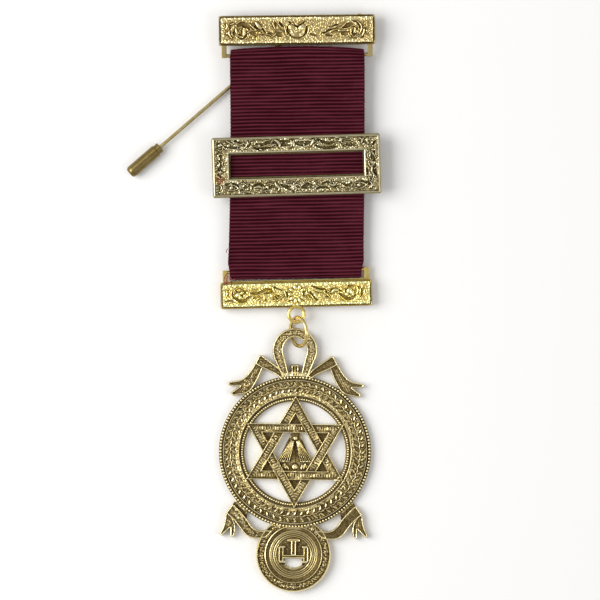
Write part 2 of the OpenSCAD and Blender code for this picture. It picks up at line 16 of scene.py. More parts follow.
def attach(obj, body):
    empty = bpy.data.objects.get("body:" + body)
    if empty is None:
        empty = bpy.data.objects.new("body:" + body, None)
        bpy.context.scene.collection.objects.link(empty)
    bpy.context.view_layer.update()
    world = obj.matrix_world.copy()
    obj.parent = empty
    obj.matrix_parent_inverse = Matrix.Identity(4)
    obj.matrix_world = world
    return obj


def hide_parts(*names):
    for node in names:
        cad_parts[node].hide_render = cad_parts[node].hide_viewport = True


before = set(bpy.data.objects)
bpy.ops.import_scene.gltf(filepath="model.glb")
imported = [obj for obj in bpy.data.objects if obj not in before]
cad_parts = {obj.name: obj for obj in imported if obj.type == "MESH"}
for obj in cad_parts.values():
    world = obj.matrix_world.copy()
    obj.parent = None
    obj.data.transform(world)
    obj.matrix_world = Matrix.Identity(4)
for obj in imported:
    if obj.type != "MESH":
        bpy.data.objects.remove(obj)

bl_info = {
    "name": "Chapter Jewel",
    "version": (1, 0, 0),
    "blender": (4, 5, 0),
    "location": "View3D > Sidebar > Jewel",
    "description": "Dresses a lying chapter jewel: bars, ribbon, slide frame, rings and cast pendant",
    "category": "Object",
}

# Names that several functions share. FAR_BELOW and FAR_AWAY never win over a real height or distance.

MM = 0.001
RECESS = "recess"
CLOTH_MAP = "cloth"
RING_TREE = "Copies Round A Ring"
FAR_BELOW = -9
FAR_AWAY = 99.0
WALL_MARK = 0.2
FINE_CELL = 0.09
CAST_FINISH = "antique_gilt"


# Places of the pieces, in millimetres, as the frame has them


def place(x, y, z, turn=0.0):
    """A place in millimetres, turned in degrees about the upright."""
    return Matrix.Translation((x, y, z)) @ Matrix.Rotation(math.radians(turn), 4, "Z")


TOP_TURN = 0.7
LOW_TURN = 1.5
RIBBON_TURN = 1.1
SLOPE = 1.735
TOP_ROD_HEIGHT = 3.2
LOW_ROD_MIDDLE = (0.165, 43.048, 1.65)
TOP_ROD = place(0.532, 94.241, TOP_ROD_HEIGHT, TOP_TURN)
LOW_ROD = place(*LOW_ROD_MIDDLE, LOW_TURN)
TOP_PLATE = place(0.459, 100.191, 2.8, TOP_TURN)
LOW_PLATE = place(0.31, 37.5, 1.25, LOW_TURN)
ON_RIBBON = place(*LOW_ROD_MIDDLE, RIBBON_TURN) @ Matrix.Rotation(math.radians(SLOPE), 4, "X")
ON_SLIDE = ON_RIBBON @ place(0.65, 25, 1.3, 0.6)
ON_PENDANT = place(0, 0, 0, -0.9)
ON_LOOP = place(0, 0, 0)
SMALL_RING_Y = -24.4
ON_SMALL_RING = ON_PENDANT @ place(0, SMALL_RING_Y, 0)
EYE_PLACE = (0.31, 32.7, 2.9)
JUMP_PLACE = place(0.85, 28.55, 3.33, 6) @ Matrix.Rotation(math.radians(-57), 4, "Y")


# Settings


def length(name, about, default):
    """A length property, in metres."""
    return FloatProperty(name=name, description=about, default=default, unit="LENGTH", precision=5)


def colour(name, about, default):
    """A colour property."""
    return FloatVectorProperty(
        name=name, description=about, default=default, size=3, min=0, max=1, subtype="COLOR"
    )


class JewelCloth(bpy.types.PropertyGroup):
    """Sizes and colours of the ribbon"""

    width: length("Width", "Width of the ribbon", 0.032)
    thickness: length("Thickness", "Thickness of one layer of the ribbon", 0.00095)
    rod_span: length("Rod Distance", "Distance between the two rods", 0.0512)
    rib_pitch: length("Rib Pitch", "Distance from one cross rib to the next", 0.00085)
    rib_depth: length("Rib Depth", "Depth of the valley between two ribs", 0.00025)
    # The rib colour holds a painted highlight on the crests, and the valley colour holds painted shade
    # between them.
    lit_crest: colour("Lit Rib Colour", "Colour of the ribs, with a painted highlight", (0.125, 0.022, 0.039))
    shaded_valley: colour("Shaded Valley Colour", "Colour between the ribs, with painted shade", (0.026, 0.001, 0.0034))


class JewelBars(bpy.types.PropertyGroup):
    """Sizes and colours of the two bars"""

    top_width: length("Upper Width", "Width of the brooch bar", 0.0371)
    top_height: length("Upper Height", "Height of the brooch bar", 0.0071)
    low_width: length("Lower Width", "Width of the lower bar", 0.036)
    low_height: length("Lower Height", "Height of the lower bar", 0.0063)
    grain: length("Ground Grain", "Distance between the grains of the matted ground", 0.00042)
    top_gilt: colour("Upper Gilt", "Colour of the brooch bar", (0.62, 0.51, 0.245))
    low_gilt: colour("Lower Gilt", "Colour of the lower bar", (0.92, 0.75, 0.28))


class JewelSlide(bpy.types.PropertyGroup):
    """Sizes and colours of the slide frame"""

    width: length("Width", "Width of the slide frame", 0.04)
    height: length("Height", "Height of the slide frame", 0.0143)
    window_width: length("Window Width", "Width of its window", 0.0323)
    window_height: length("Window Height", "Height of its window", 0.0061)
    gilt: colour("Gilt", "Colour of the slide frame", (0.5, 0.45, 0.28))
    stain: colour("Stain", "Colour of the coppery stain", (0.5, 0.27, 0.13))


class JewelWires(bpy.types.PropertyGroup):
    """Colours of the jump ring, the pin and its guard"""

    ring: colour("Ring Wire", "Colour of the jump ring", (0.86, 0.71, 0.33))
    pin: colour("Pin Wire", "Colour of the pin", (0.49, 0.42, 0.21))
    guard: colour("Guard Brass", "Colour of the pin's guard", (0.26, 0.2, 0.08))


class JewelPendant(bpy.types.PropertyGroup):
    """Sizes and colours of the cast pendant"""

    ring_radius: length("Ring Radius", "Outer radius of the large ring", 0.0183)
    opening: length("Opening", "Radius of the large ring's opening", 0.012)
    star_radius: length("Star Radius", "Distance from the centre to the star's points", 0.0134)
    limb: length("Limb Width", "Width of a limb of the star", 0.0022)
    beads_out: IntProperty(name="Outer Beads", description="Beads round the large ring", default=150)
    beads_in: IntProperty(name="Inner Beads", description="Beads round its opening", default=140)
    leaves: IntProperty(name="Wreath Leaves", description="Leaf pairs in the wreath", default=60)
    gilt: colour("Gilt", "Colour of the worn gilt", (0.7, 0.6, 0.332))
    patina: colour("Patina", "Colour of the recesses", (0.085, 0.054, 0.016))


class JewelStage(bpy.types.PropertyGroup):
    """Camera, light and floor"""

    camera_height: length("Camera Height", "Height of the camera above the floor", 1.5)
    view_width: length("View Width", "Width of the floor in the picture", 0.1428)
    key_power: FloatProperty(
        name="Key Light", description="Power of the key light", default=4.5, unit="POWER"
    )
    floor: colour("Floor", "Colour of the floor", (0.91, 0.91, 0.915))


# Shapes in the plane: grids, distances and profiles


def square_grid(x0, y0, x1, y1, cell):
    """Places of a square grid."""
    xs = np.linspace(x0, x1, int(round((x1 - x0) / cell)) + 1)
    ys = np.linspace(y0, y1, int(round((y1 - y0) / cell)) + 1)
    return np.meshgrid(xs, ys)


def grid_round(w, h, cell, lip=0.0):
    """Places of a square grid that covers a rectangle round the origin, with a lip along its upper side."""
    edge = 0.1
    return square_grid(-w / 2 - edge, -h / 2 - edge, w / 2 + edge, h / 2 + edge + lip, cell)


def ring_grid(r0, r1, cell):
    """Places of a grid round the origin: a row for each angle, a column for each radius."""
    count = int(round(2 * math.pi * (r0 + r1) / 2 / cell))
    angles = np.arange(count) * 2 * math.pi / count
    radii = np.linspace(r0, r1, int(round((r1 - r0) / cell)) + 1)
    return np.outer(np.cos(angles), radii), np.outer(np.sin(angles), radii)


def dome(share):
    """Height of a round top: 1 in the middle and 0 at a share of 1."""
    return np.sqrt(np.clip(1 - share * share, 0, 1))


def ridge(r, at, wide, high, base):
    """Height of a rounded ridge on a base, at a radius or distance, and far below beside the ridge."""
    share = (r - at) / (wide / 2)
    return np.where(np.abs(share) < 1, base + high * dome(share), FAR_BELOW)


def rise(value, low, high):
    """A smooth step from 0 to 1."""
    t = np.clip((value - low) / (high - low), 0, 1)
    return t * t * (3 - 2 * t)


def box_edge(x, y, w, h, r=0.0):
    """Distance to a rectangle round the origin, less than zero inside it."""
    qx, qy = np.abs(x) - w / 2 + r, np.abs(y) - h / 2 + r
    return np.hypot(np.maximum(qx, 0), np.maximum(qy, 0)) + np.minimum(np.maximum(qx, qy), 0) - r


def outline_edge(x, y, points):
    """Distance to a closed outline, less than zero inside it."""
    points = np.asarray(points, float)
    nearest = np.full(x.shape, 1e9)
    inside = np.zeros(x.shape, bool)
    for (x0, y0), (x1, y1) in zip(points, np.roll(points, -1, 0)):
        ex, ey = x1 - x0, y1 - y0
        t = np.clip(((x - x0) * ex + (y - y0) * ey) / (ex * ex + ey * ey), 0, 1)
        nearest = np.minimum(nearest, (x - x0 - t * ex) ** 2 + (y - y0 - t * ey) ** 2)
        if ey != 0:
            inside ^= ((y0 <= y) != (y1 <= y)) & (x < x0 + (y - y0) * ex / ey)
    return np.where(inside, -1, 1) * np.sqrt(nearest)


def chance(i, j, seed):
    """A fixed number from 0 to 1 for each pair of whole numbers."""
    n = np.sin(i * 127.1 + j * 311.7 + seed * 74.7) * 43758.5453
    return n - np.floor(n)


def grains(x, y, pitch, seed, fill=0.62):
    """Height, 0 to 1, of small round grains on a shaken grid."""
    column, row = np.floor(x / pitch), np.floor(y / pitch)
    out = np.zeros_like(x)
    for di in (-1, 0, 1):
        for dj in (-1, 0, 1):
            i, j = column + di, row + dj
            gx = (i + 0.5 + 0.7 * (chance(i, j, seed) - 0.5)) * pitch
            gy = (j + 0.5 + 0.7 * (chance(i, j, seed + 1) - 0.5)) * pitch
            r = pitch * fill * (0.7 + 0.5 * chance(i, j, seed + 2))
            high = 0.6 + 0.4 * chance(i, j, seed + 3)
            out = np.maximum(out, high * dome(np.hypot(x - gx, y - gy) / r))
    return out


def sway(x, y, seed):
    """Slow waves, about -1 to 1, for anything that isn't quite straight or even."""
    waves = ((0.31, 0.17), (0.13, -0.29), (0.07, 0.61))
    starts = [2 * math.pi * chance(seed, k, 5) for k in range(len(waves))]
    return sum(np.sin(x * a + y * b + start) for (a, b), start in zip(waves, starts)) / len(waves)


def blur(values, spread):
    """Values smoothed over a number of grid cells."""
    reach = max(1, int(3 * spread))
    weights = np.exp(-0.5 * (np.arange(-reach, reach + 1) / spread) ** 2)
    weights /= weights.sum()
    for axis in (0, 1):
        pad = [(reach, reach) if a == axis else (0, 0) for a in (0, 1)]
        padded = np.pad(values, pad, "edge")
        size = values.shape[axis]
        values = sum(w * padded.take(range(k, k + size), axis) for k, w in enumerate(weights))
    return values


# Ornament, drawn into a height field


def through(points, steps=8):
    """A smooth line through points."""
    ends = np.array([points[0], *points, points[-1]], float)
    line = []
    for a, b, c, d in zip(ends, ends[1:], ends[2:], ends[3:]):
        for s in range(steps):
            t = s / steps
            curve = 2 * b + (c - a) * t + (2 * a - 5 * b + 4 * c - d) * t * t
            line.append(tuple(0.5 * (curve + (3 * b - a - 3 * c + d) * t**3)))
    return [*line, tuple(points[-1])]


class Field:
    """A height field on a grid, with the ornament that is drawn on it."""

    def __init__(self, x, y):
        self.x, self.y = x, y
        self.high = np.zeros_like(x)

    def stroke(self, points, wide, high, ends=0.35):
        """A rounded line that thins towards its ends."""
        n = len(points) - 1
        for k in range(n):
            (x0, y0), (x1, y1) = points[k], points[k + 1]
            near = self.near(min(x0, x1), min(y0, y1), max(x0, x1), max(y0, y1), wide)
            if near is None:
                continue
            x, y = self.x[near], self.y[near]
            ex, ey = x1 - x0, y1 - y0
            t = np.clip(((x - x0) * ex + (y - y0) * ey) / (ex * ex + ey * ey + 1e-12), 0, 1)
            d = np.hypot(x - x0 - t * ex, y - y0 - t * ey)
            swell = ends + (1 - ends) * np.sin(math.pi * (k + t) / n)
            self.raise_to(near, high * (0.55 + 0.45 * swell) * dome(d / (wide / 2 * swell)))

    def leaf(self, x0, y0, turn, long, wide, high, curl=0.0, vein=0.3):
        """A pointed leaf with a middle vein, its stalk at (x0, y0)."""
        a = math.radians(turn)
        near = self.near(x0 - long, y0 - long, x0 + long, y0 + long, 0)
        if near is None:
            return
        x, y = self.x[near] - x0, self.y[near] - y0
        u = (x * math.cos(a) + y * math.sin(a)) / long
        v = -x * math.sin(a) + y * math.cos(a)
        v = v - curl * long * u * u
        t = np.clip(u, 0, 1)
        half = wide / 2 * np.sin(math.pi * t**0.8) + 1e-6
        rib = 1 - vein * np.exp(-((v / (0.13 * wide)) ** 2))
        body = high * dome(v / half) * rib * (0.5 + 0.5 * np.sin(math.pi * t))
        self.raise_to(near, np.where((u > 0) & (u < 1), body, 0))

    def drop(self, x0, y0, r, high, squash=1.0, turn=0.0):
        """A round or oval boss."""
        a = math.radians(turn)
        near = self.near(x0 - r, y0 - r, x0 + r, y0 + r, 0)
        if near is None:
            return
        x, y = self.x[near] - x0, self.y[near] - y0
        u, v = x * math.cos(a) + y * math.sin(a), (-x * math.sin(a) + y * math.cos(a)) / squash
        self.raise_to(near, high * dome(np.hypot(u, v) / r))

    def near(self, x0, y0, x1, y1, margin):
        """Grid points in a box, or None where it holds none."""
        across = (self.x > x0 - margin) & (self.x < x1 + margin)
        inside = across & (self.y > y0 - margin) & (self.y < y1 + margin)
        return np.nonzero(inside) if inside.any() else None

    def raise_to(self, near, high):
        """Lifts the field to a height that is above it, or sinks it to one that is less than zero."""
        now = self.high[near]
        sunk = np.where(high < 0, np.minimum(now, high), now)
        self.high[near] = np.where(high > 0, np.maximum(now, high), sunk)

    def over(self, ground, cells, moat=0.2):
        """The ornament over a ground that is cut back beside it."""
        drawn = self.high > 0.02
        beside = blur(drawn.astype(float), cells)
        low = ground * (1 - beside) - moat * beside
        deep = np.minimum(low, self.high + 0.6 * ground)
        return np.where(drawn, self.high, np.where(self.high < 0, deep, low))

    def draw(self, hollows, lines, bosses):
        """Draws hollows, then raised lines, then round bosses, each from a table."""
        for wide, deep, *points in hollows:
            self.stroke(through(points), wide, -deep, 0.5)
        for wide, high, *points in lines:
            self.stroke(through(points), wide, high, 0.45)
        for x, y, r, high in bosses:
            self.drop(x, y, r, high, 0.8, 40)


# Meshes


def linked(name, data):
    """A new object in the scene."""
    made = bpy.data.objects.new(name, data)
    bpy.context.scene.collection.objects.link(made)
    return made


def make_object(name, verts, faces, material, sharp=35.0, marks=None):
    """An object with a smooth mesh, its places already in metres."""
    mesh = bpy.data.meshes.new(name)
    mesh.from_pydata([tuple(v) for v in verts], [], faces)
    mesh.materials.append(material)
    if marks is not None:
        recess = mesh.attributes.new(RECESS, "FLOAT", "POINT")
        recess.data.foreach_set("value", np.asarray(marks, np.float32))
    mesh.shade_smooth()
    mesh.set_sharp_from_angle(angle=math.radians(sharp))
    return linked(name, mesh)


def placed(points, where):
    """Points in millimetres, put in place and turned to metres."""
    turn = np.array(where)
    return (np.asarray(points, float) @ turn[:3, :3].T + turn[:3, 3]) * MM


def cut_triangles(triangles, edge):
    """Triangles cut off where edge is zero. New points lie on pairs of old ones, at a share of the way."""
    inside = edge[triangles] < 0
    count = inside.sum(1)
    whole = triangles[count == 3]
    one, two = triangles[count == 1], triangles[count == 2]
    one = np.take_along_axis(one, (np.argmax(inside[count == 1], 1)[:, None] + [0, 1, 2]) % 3, 1)
    two = np.take_along_axis(two, (np.argmin(inside[count == 2], 1)[:, None] + [0, 1, 2]) % 3, 1)
    pairs = np.concatenate([one[:, [0, 1]], one[:, [0, 2]], two[:, [0, 1]], two[:, [0, 2]]])
    pairs.sort(1)
    unique, back = np.unique(pairs, axis=0, return_inverse=True)
    new = back.ravel() + len(edge)
    n, m = len(one), len(two)
    first, second, third, fourth = np.split(new, [n, 2 * n, 2 * n + m])
    corners = (
        (one[:, 0], first, second),
        (third, two[:, 1], two[:, 2]),
        (third, two[:, 2], fourth),
    )
    cut = np.concatenate([whole, *(np.stack(three, 1) for three in corners)])
    low, high = edge[unique[:, 0]], edge[unique[:, 1]]
    return cut, unique, np.clip(low / (low - high), 0.04, 0.96)


def back_faces(points, members, rim):
    """Triangles that close the flat back inside its rim, facing down."""
    number = {v: k for k, v in enumerate(members)}
    points = points[:, :2].astype(np.float32).astype(float)
    flat = [Vector(points[v]) for v in members]
    edges = [(number[a], number[b]) for a, b in rim]
    _, _, triangles, origins, _, _ = geometry.delaunay_2d_cdt(flat, edges, [], 0, 1e-7)
    triangles = np.array([[members[origins[v][0]] for v in t] for t in triangles])
    corners = points[triangles]
    x, y = corners.mean(1).T
    starts, ends = (points[[side[k] for side in rim]] for k in (0, 1))
    crossed = np.zeros(len(triangles), int)
    for (x0, y0), (x1, y1) in zip(starts, ends):
        if y0 != y1:
            crossed += ((y0 <= y) != (y1 <= y)) & (x < x0 + (y - y0) * (x1 - x0) / (y1 - y0))
    a, b = corners[:, 1] - corners[:, 0], corners[:, 2] - corners[:, 0]
    up = a[:, 0] * b[:, 1] - a[:, 1] * b[:, 0] > 0
    triangles[up] = triangles[up][:, ::-1]
    return triangles[crossed % 2 == 1].tolist()


def recess_marks(top, edge, cell, spread, patina):
    """How far each point lies under what is round it, plus a patina where a ground has another tone."""
    mask = (edge < 0).astype(float)
    around = blur(top * mask, spread / cell) / np.maximum(blur(mask, spread / cell), 1e-3)
    return np.where(mask > 0, np.clip((around - top) / 0.2 + patina, -1, 1), 0)


def grid_triangles(shape, ring):
    """Two triangles for each cell of a grid, which closes on itself where it is a ring."""
    index = np.arange(shape[0] * shape[1]).reshape(shape)
    if ring:
        index = np.concatenate([index, index[:1]])
    a, b, c, d = index[:-1, :-1], index[:-1, 1:], index[1:, 1:], index[1:, :-1]
    return np.concatenate([np.stack(half, -1).reshape(-1, 3) for half in ((a, b, c), (a, c, d))])


def facing_up(points, triangles):
    """Triangles, all turned over where most of them face down."""
    p, q, r = (points[triangles[:, k], :2] for k in range(3))
    area = (q[:, 0] - p[:, 0]) * (r[:, 1] - p[:, 1]) - (q[:, 1] - p[:, 1]) * (r[:, 0] - p[:, 0])
    return triangles[:, ::-1] if area.sum() < 0 else triangles


def rim_of(triangles):
    """The sides that belong to one triangle alone."""
    sides = np.concatenate([triangles[:, [0, 1]], triangles[:, [1, 2]], triangles[:, [2, 0]]])
    _, first, count = np.unique(np.sort(sides, 1), axis=0, return_index=True, return_counts=True)
    return sides[first[count == 1]]


def relief(
    name, x, y, top, edge, where, material, back=0, ring=False, sharp=35.0, spread=0.45, patina=0.0
):
    """A casting: a height field cut to an outline, with walls down to a flat back."""
    cell = math.hypot(x[0, 1] - x[0, 0], y[0, 1] - y[0, 0])
    marks = recess_marks(top, edge, cell, spread, patina)
    triangles, pairs, shares = cut_triangles(grid_triangles(x.shape, ring), edge.ravel())
    flat = np.stack([x.ravel(), y.ravel(), top.ravel(), marks.ravel()], 1)
    on_edge = flat[pairs[:, 0]] * (1 - shares[:, None]) + flat[pairs[:, 1]] * shares[:, None]
    flat = np.concatenate([flat, on_edge])
    used, triangles = np.unique(triangles, return_inverse=True)
    flat, triangles = flat[used], triangles.reshape(-1, 3)
    triangles = facing_up(flat, triangles)
    rim = rim_of(triangles)
    below = {int(v): len(flat) + k for k, v in enumerate(np.unique(rim))}
    low = flat[sorted(below)].copy()
    low[:, 2:] = back, WALL_MARK
    points = np.concatenate([flat, low])
    under = [[below[a], below[b]] for a, b in rim.tolist()]
    faces = triangles.tolist()
    faces += [[a, below[a], below[b], b] for a, b in rim.tolist()]
    faces += back_faces(points, sorted(below.values()), under)
    return make_object(name, placed(points[:, :3], where), faces, material, sharp, points[:, 3])


def tube(name, path, radius, material, sides=20, closed=False, where=Matrix.Identity(4)):
    """A round wire along a path. radius is one number, or one for each point."""
    path = np.asarray(path, float)
    n = len(path)
    radii = np.broadcast_to(np.asarray(radius, float), (n,))
    ahead = np.roll(path, -1, 0) - np.roll(path, 1, 0)
    if not closed:
        ahead[0], ahead[-1] = path[1] - path[0], path[-1] - path[-2]
    ahead /= np.linalg.norm(ahead, axis=1)[:, None]
    unlike_any_wire = (0.31, 0.17, 0.93)
    side = np.cross(ahead[0], unlike_any_wire)
    verts, angles = [], np.arange(sides) * 2 * math.pi / sides
    for k in range(n):
        side = side - ahead[k] * (side @ ahead[k])
        side /= np.linalg.norm(side)
        other = np.cross(ahead[k], side)
        around = np.outer(np.cos(angles), side) + np.outer(np.sin(angles), other)
        verts.append(path[k] + radii[k] * around)
    rows = n if closed else n - 1
    faces = []
    for k in range(rows):
        for s in range(sides):
            t, m = (s + 1) % sides, (k + 1) % n
            faces.append([k * sides + s, k * sides + t, m * sides + t, m * sides + s])
    if not closed:
        faces.append(list(range(sides))[::-1])
        faces.append([(n - 1) * sides + s for s in range(sides)])
    return make_object(name, placed(np.concatenate(verts), where), faces, material)


def circle_path(r, n, where=(0, 0, 0), first=0.0):
    """Points of a level circle. The first one lies that many steps on from +X."""
    turns = [2 * math.pi * (k + first) / n for k in range(n)]
    return [(where[0] + r * math.cos(a), where[1] + r * math.sin(a), where[2]) for a in turns]


def block(name, low, high, bevel, where, material):
    """A box with rounded edges."""
    bm = bmesh.new()
    bmesh.ops.create_cube(bm, size=1)
    for v in bm.verts:
        v.co = Vector([low[a] + (high[a] - low[a]) * (v.co[a] + 0.5) for a in range(3)])
    rounding = {"offset": bevel, "segments": 3, "profile": 0.6, "clamp_overlap": True}
    bmesh.ops.bevel(bm, geom=bm.edges[:], affect="EDGES", **rounding)
    verts = [v.co[:] for v in bm.verts]
    faces = [[v.index for v in f.verts] for f in bm.faces]
    bm.free()
    return make_object(name, placed(verts, where), faces, material)


def joined(pieces, name):
    """One object from several that are soldered or cast together."""
    for piece in pieces:
        if RECESS not in piece.data.attributes:
            piece.data.attributes.new(RECESS, "FLOAT", "POINT")
    first = pieces[0]
    chosen = {"selected_objects": pieces, "selected_editable_objects": pieces}
    with bpy.context.temp_override(active_object=first, object=first, **chosen):
        bpy.ops.object.join()
    first.name = name
    first.data.name = name
    return first


def finish_piece(piece, slot, *nodes):
    """Rides a piece on the jewel and hides the imported parts that it takes the place of."""
    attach(piece, "jewel")
    if nodes:
        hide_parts(*nodes)
    return piece


# Geometry nodes for what repeats


def ring_tree():
    """A node tree that sets copies of a small piece round a circle."""
    tree = bpy.data.node_groups.new(RING_TREE, "GeometryNodeTree")
    tree.interface.new_socket("Geometry", in_out="OUTPUT", socket_type="NodeSocketGeometry")
    for name, kind in (
        ("Piece", "Object"), ("Count", "Int"), ("Radius", "Float"), ("Height", "Float"),
        ("Start", "Float"), ("Material", "Material"), ("Seed", "Int"),
    ):
        tree.interface.new_socket(name, in_out="INPUT", socket_type="NodeSocket" + kind)
    kinds = {
        "given": "NodeGroupInput",
        "circle": "GeometryNodeMeshCircle",
        "turn": "ShaderNodeCombineXYZ",
        "lift": "ShaderNodeCombineXYZ",
        "moved": "GeometryNodeTransform",
        "index": "GeometryNodeInputIndex",
        "step": "ShaderNodeMath",
        "angle": "ShaderNodeMath",
        "whole_angle": "ShaderNodeMath",
        "spin": "ShaderNodeCombineXYZ",
        "size": "FunctionNodeRandomValue",
        "piece": "GeometryNodeObjectInfo",
        "copies": "GeometryNodeInstanceOnPoints",
        "real": "GeometryNodeRealizeInstances",
        "painted": "GeometryNodeSetMaterial",
        "result": "NodeGroupOutput",
    }
    node = {name: tree.nodes.new(kind) for name, kind in kinds.items()}
    node["step"].operation, node["step"].inputs[0].default_value = "DIVIDE", 2 * math.pi
    node["angle"].operation = "MULTIPLY"
    node["whole_angle"].operation = "ADD"
    node["size"].data_type = "FLOAT_VECTOR"
    for socket, size in enumerate((0.93, 1.05)):
        node["size"].inputs[socket].default_value = (size, size, size)
    for source, given, target, taken in (
        ("given", "Count", "circle", "Vertices"),
        ("given", "Radius", "circle", "Radius"),
        ("given", "Start", "turn", "Z"),
        ("given", "Height", "lift", "Z"),
        ("circle", "Mesh", "moved", "Geometry"),
        ("turn", 0, "moved", "Rotation"),
        ("lift", 0, "moved", "Translation"),
        ("given", "Count", "step", 1),
        ("index", 0, "angle", 0),
        ("step", 0, "angle", 1),
        ("angle", 0, "whole_angle", 0),
        ("given", "Start", "whole_angle", 1),
        ("whole_angle", 0, "spin", "Z"),
        ("given", "Seed", "size", "Seed"),
        ("given", "Piece", "piece", "Object"),
        ("moved", "Geometry", "copies", "Points"),
        ("piece", "Geometry", "copies", "Instance"),
        ("spin", 0, "copies", "Rotation"),
        ("size", 0, "copies", "Scale"),
        ("copies", "Instances", "real", "Geometry"),
        ("real", "Geometry", "painted", "Geometry"),
        ("given", "Material", "painted", "Material"),
        ("painted", "Geometry", "result", 0),
    ):
        tree.links.new(node[source].outputs[given], node[target].inputs[taken])
    return tree


def round_ring(name, piece, count, radius, height, start, where, material, seed):
    """Copies of a small piece round a circle, as one plain mesh."""
    tree = bpy.data.node_groups.get(RING_TREE) or ring_tree()
    holder = linked(name + "_source", bpy.data.meshes.new(name + "_source"))
    modifier = holder.modifiers.new("Copies", "NODES")
    modifier.node_group = tree
    values = {
        "Piece": piece,
        "Count": count,
        "Radius": radius * MM,
        "Height": height * MM,
        "Start": math.radians(start),
        "Material": material,
        "Seed": seed,
    }
    for item in tree.interface.items_tree:
        if item.in_out == "INPUT":
            modifier[item.identifier] = values[item.name]
    bpy.context.view_layer.update()
    graph = bpy.context.evaluated_depsgraph_get()
    mesh = bpy.data.meshes.new_from_object(holder.evaluated_get(graph))
    mesh.name = name
    bpy.data.objects.remove(holder)
    bpy.data.objects.remove(piece)
    turn = where.copy()
    turn.translation *= MM
    mesh.transform(turn)
    mesh.shade_smooth()
    mesh.set_sharp_from_angle(angle=math.radians(40))
    return linked(name, mesh)


def small_bead(r, material):
    """A bead of a few dozen faces, brighter towards its top."""
    around, rows = 10, 7
    verts = [(0, 0, r), (0, 0, -r)]
    for k in range(1, rows):
        tilt = math.pi * k / rows
        verts += circle_path(r * math.sin(tilt), around, (0, 0, r * math.cos(tilt)), 0.5)
    faces, lowest = [], len(verts) - around
    for s in range(around):
        t = (s + 1) % around
        faces += [[0, 2 + s, 2 + t], [1, lowest + t, lowest + s]]
        for a in range(2, lowest, around):
            faces.append([a + s, a + around + s, a + around + t, a + t])
    worn = [0.5 - 1.2 * max(0, v[2]) / r for v in verts]
    return make_object("bead", placed(verts, Matrix.Identity(4)), faces, material, marks=worn)


def small_leaves(long, wide, high, apart, material):
    """A pair of laurel leaves that lean outwards on both sides of a stem along +Y."""
    verts, faces = [], []
    across, rows = (-1, -0.5, 0, 0.5, 1), 7
    n = len(across)
    sunk, vein, foot = 0.12, high * 0.3, -0.3
    for side in (-1, 1):
        start = len(verts)
        lean = side * math.radians(-52)
        cos, sin = math.cos(lean), math.sin(lean)
        for k in range(rows):
            u = k / (rows - 1)
            half = wide / 2 * math.sin(math.pi * (0.04 + 0.92 * u) ** 0.8)
            swell = 0.55 + 0.45 * math.sin(math.pi * u)
            for c in across:
                x, y = c * half, long * (u - 0.3)
                z = high * math.sqrt(max(0, 1 - c * c)) * swell - sunk - (vein if c == 0 else 0)
                verts.append((side * apart + x * cos - y * sin, x * sin + y * cos, z))
        top = len(verts)
        verts += [(v[0], v[1], foot) for v in verts[start:top]]
        m = top - start
        row_ends = [(start + k * n, start + k * n + n - 1) for k in range(rows - 1)]
        for a, b in row_ends:
            for p in range(a, b):
                faces.append([p, p + 1, p + n + 1, p + n])
                faces.append([p + m, p + n + m, p + n + 1 + m, p + 1 + m])
        for a, b in row_ends:
            faces.append([a, a + n, a + n + m, a + m])
            faces.append([b + n, b, b + m, b + n + m])
        for c in range(n - 1):
            a, b = start + c, start + (rows - 1) * n + c
            faces.append([a + 1, a, a + m, a + 1 + m])
            faces.append([b, b + 1, b + 1 + m, b + m])
    worn = [0.5 - 1.5 * min(1, max(0, v[2]) / (high * 0.7)) for v in verts]
    return make_object("leaves", placed(verts, Matrix.Identity(4)), faces, material, marks=worn)


# Materials


class Finish:
    """A material, its main shader and the nodes that feed it."""

    def __init__(self, name):
        self.material = bpy.data.materials.new(name)
        self.material.use_nodes = True
        self.tree = self.material.node_tree
        self.shader = self.tree.nodes["Principled BSDF"]

    def fill(self, node, sockets):
        """Gives each named or numbered socket of a node its value, or a link where that is a socket."""
        for name, value in sockets.items():
            if isinstance(value, bpy.types.NodeSocket):
                self.tree.links.new(value, node.inputs[name])
            else:
                node.inputs[name].default_value = value

    def shade(self, sockets):
        """Fills the main shader's sockets and gives back the finished material."""
        self.fill(self.shader, sockets)
        return self.material

    def node(self, kind, sockets, **options):
        """A new node with its options set and its sockets filled."""
        made = self.tree.nodes.new("ShaderNode" + kind)
        for name, value in options.items():
            setattr(made, name, value)
        self.fill(made, sockets)
        return made

    def own_places(self):
        """The object's own places."""
        return self.node("TexCoord", {}).outputs["Object"]

    def recess(self):
        """The recess mark of each point."""
        return self.node("Attribute", {}, attribute_name=RECESS).outputs["Fac"]

    def noise(self, where, scale, detail=4.0):
        """A noise texture. scale is per unit of where."""
        sockets = {"Vector": where, "Scale": scale, "Detail": detail, "Roughness": 0.6}
        return self.node("TexNoise", sockets).outputs["Fac"]

    def ranged(self, value, low, high, to_low=0.0, to_high=1.0):
        """A value moved from one range to another."""
        sockets = {"Value": value, "From Min": low, "From Max": high, "To Min": to_low, "To Max": to_high}
        return self.node("MapRange", sockets).outputs["Result"]

    def total(self, *values):
        """The sum of several values."""
        total = values[0]
        for value in values[1:]:
            total = self.node("Math", {0: total, 1: value}, operation="ADD").outputs[0]
        return total

    def blended(self, share, first, second):
        """A mix of two colours. Each is a colour or a socket."""
        first, second = (c if isinstance(c, bpy.types.NodeSocket) else (*c, 1) for c in (first, second))
        sockets = {"Factor": share, 6: first, 7: second}
        return self.node("Mix", sockets, data_type="RGBA").outputs[2]

    def bump(self, height, strength, distance):
        """The direction of a surface with fine relief. distance is in metres."""
        sockets = {"Height": height, "Strength": strength, "Distance": distance}
        return self.node("Bump", sockets).outputs["Normal"]


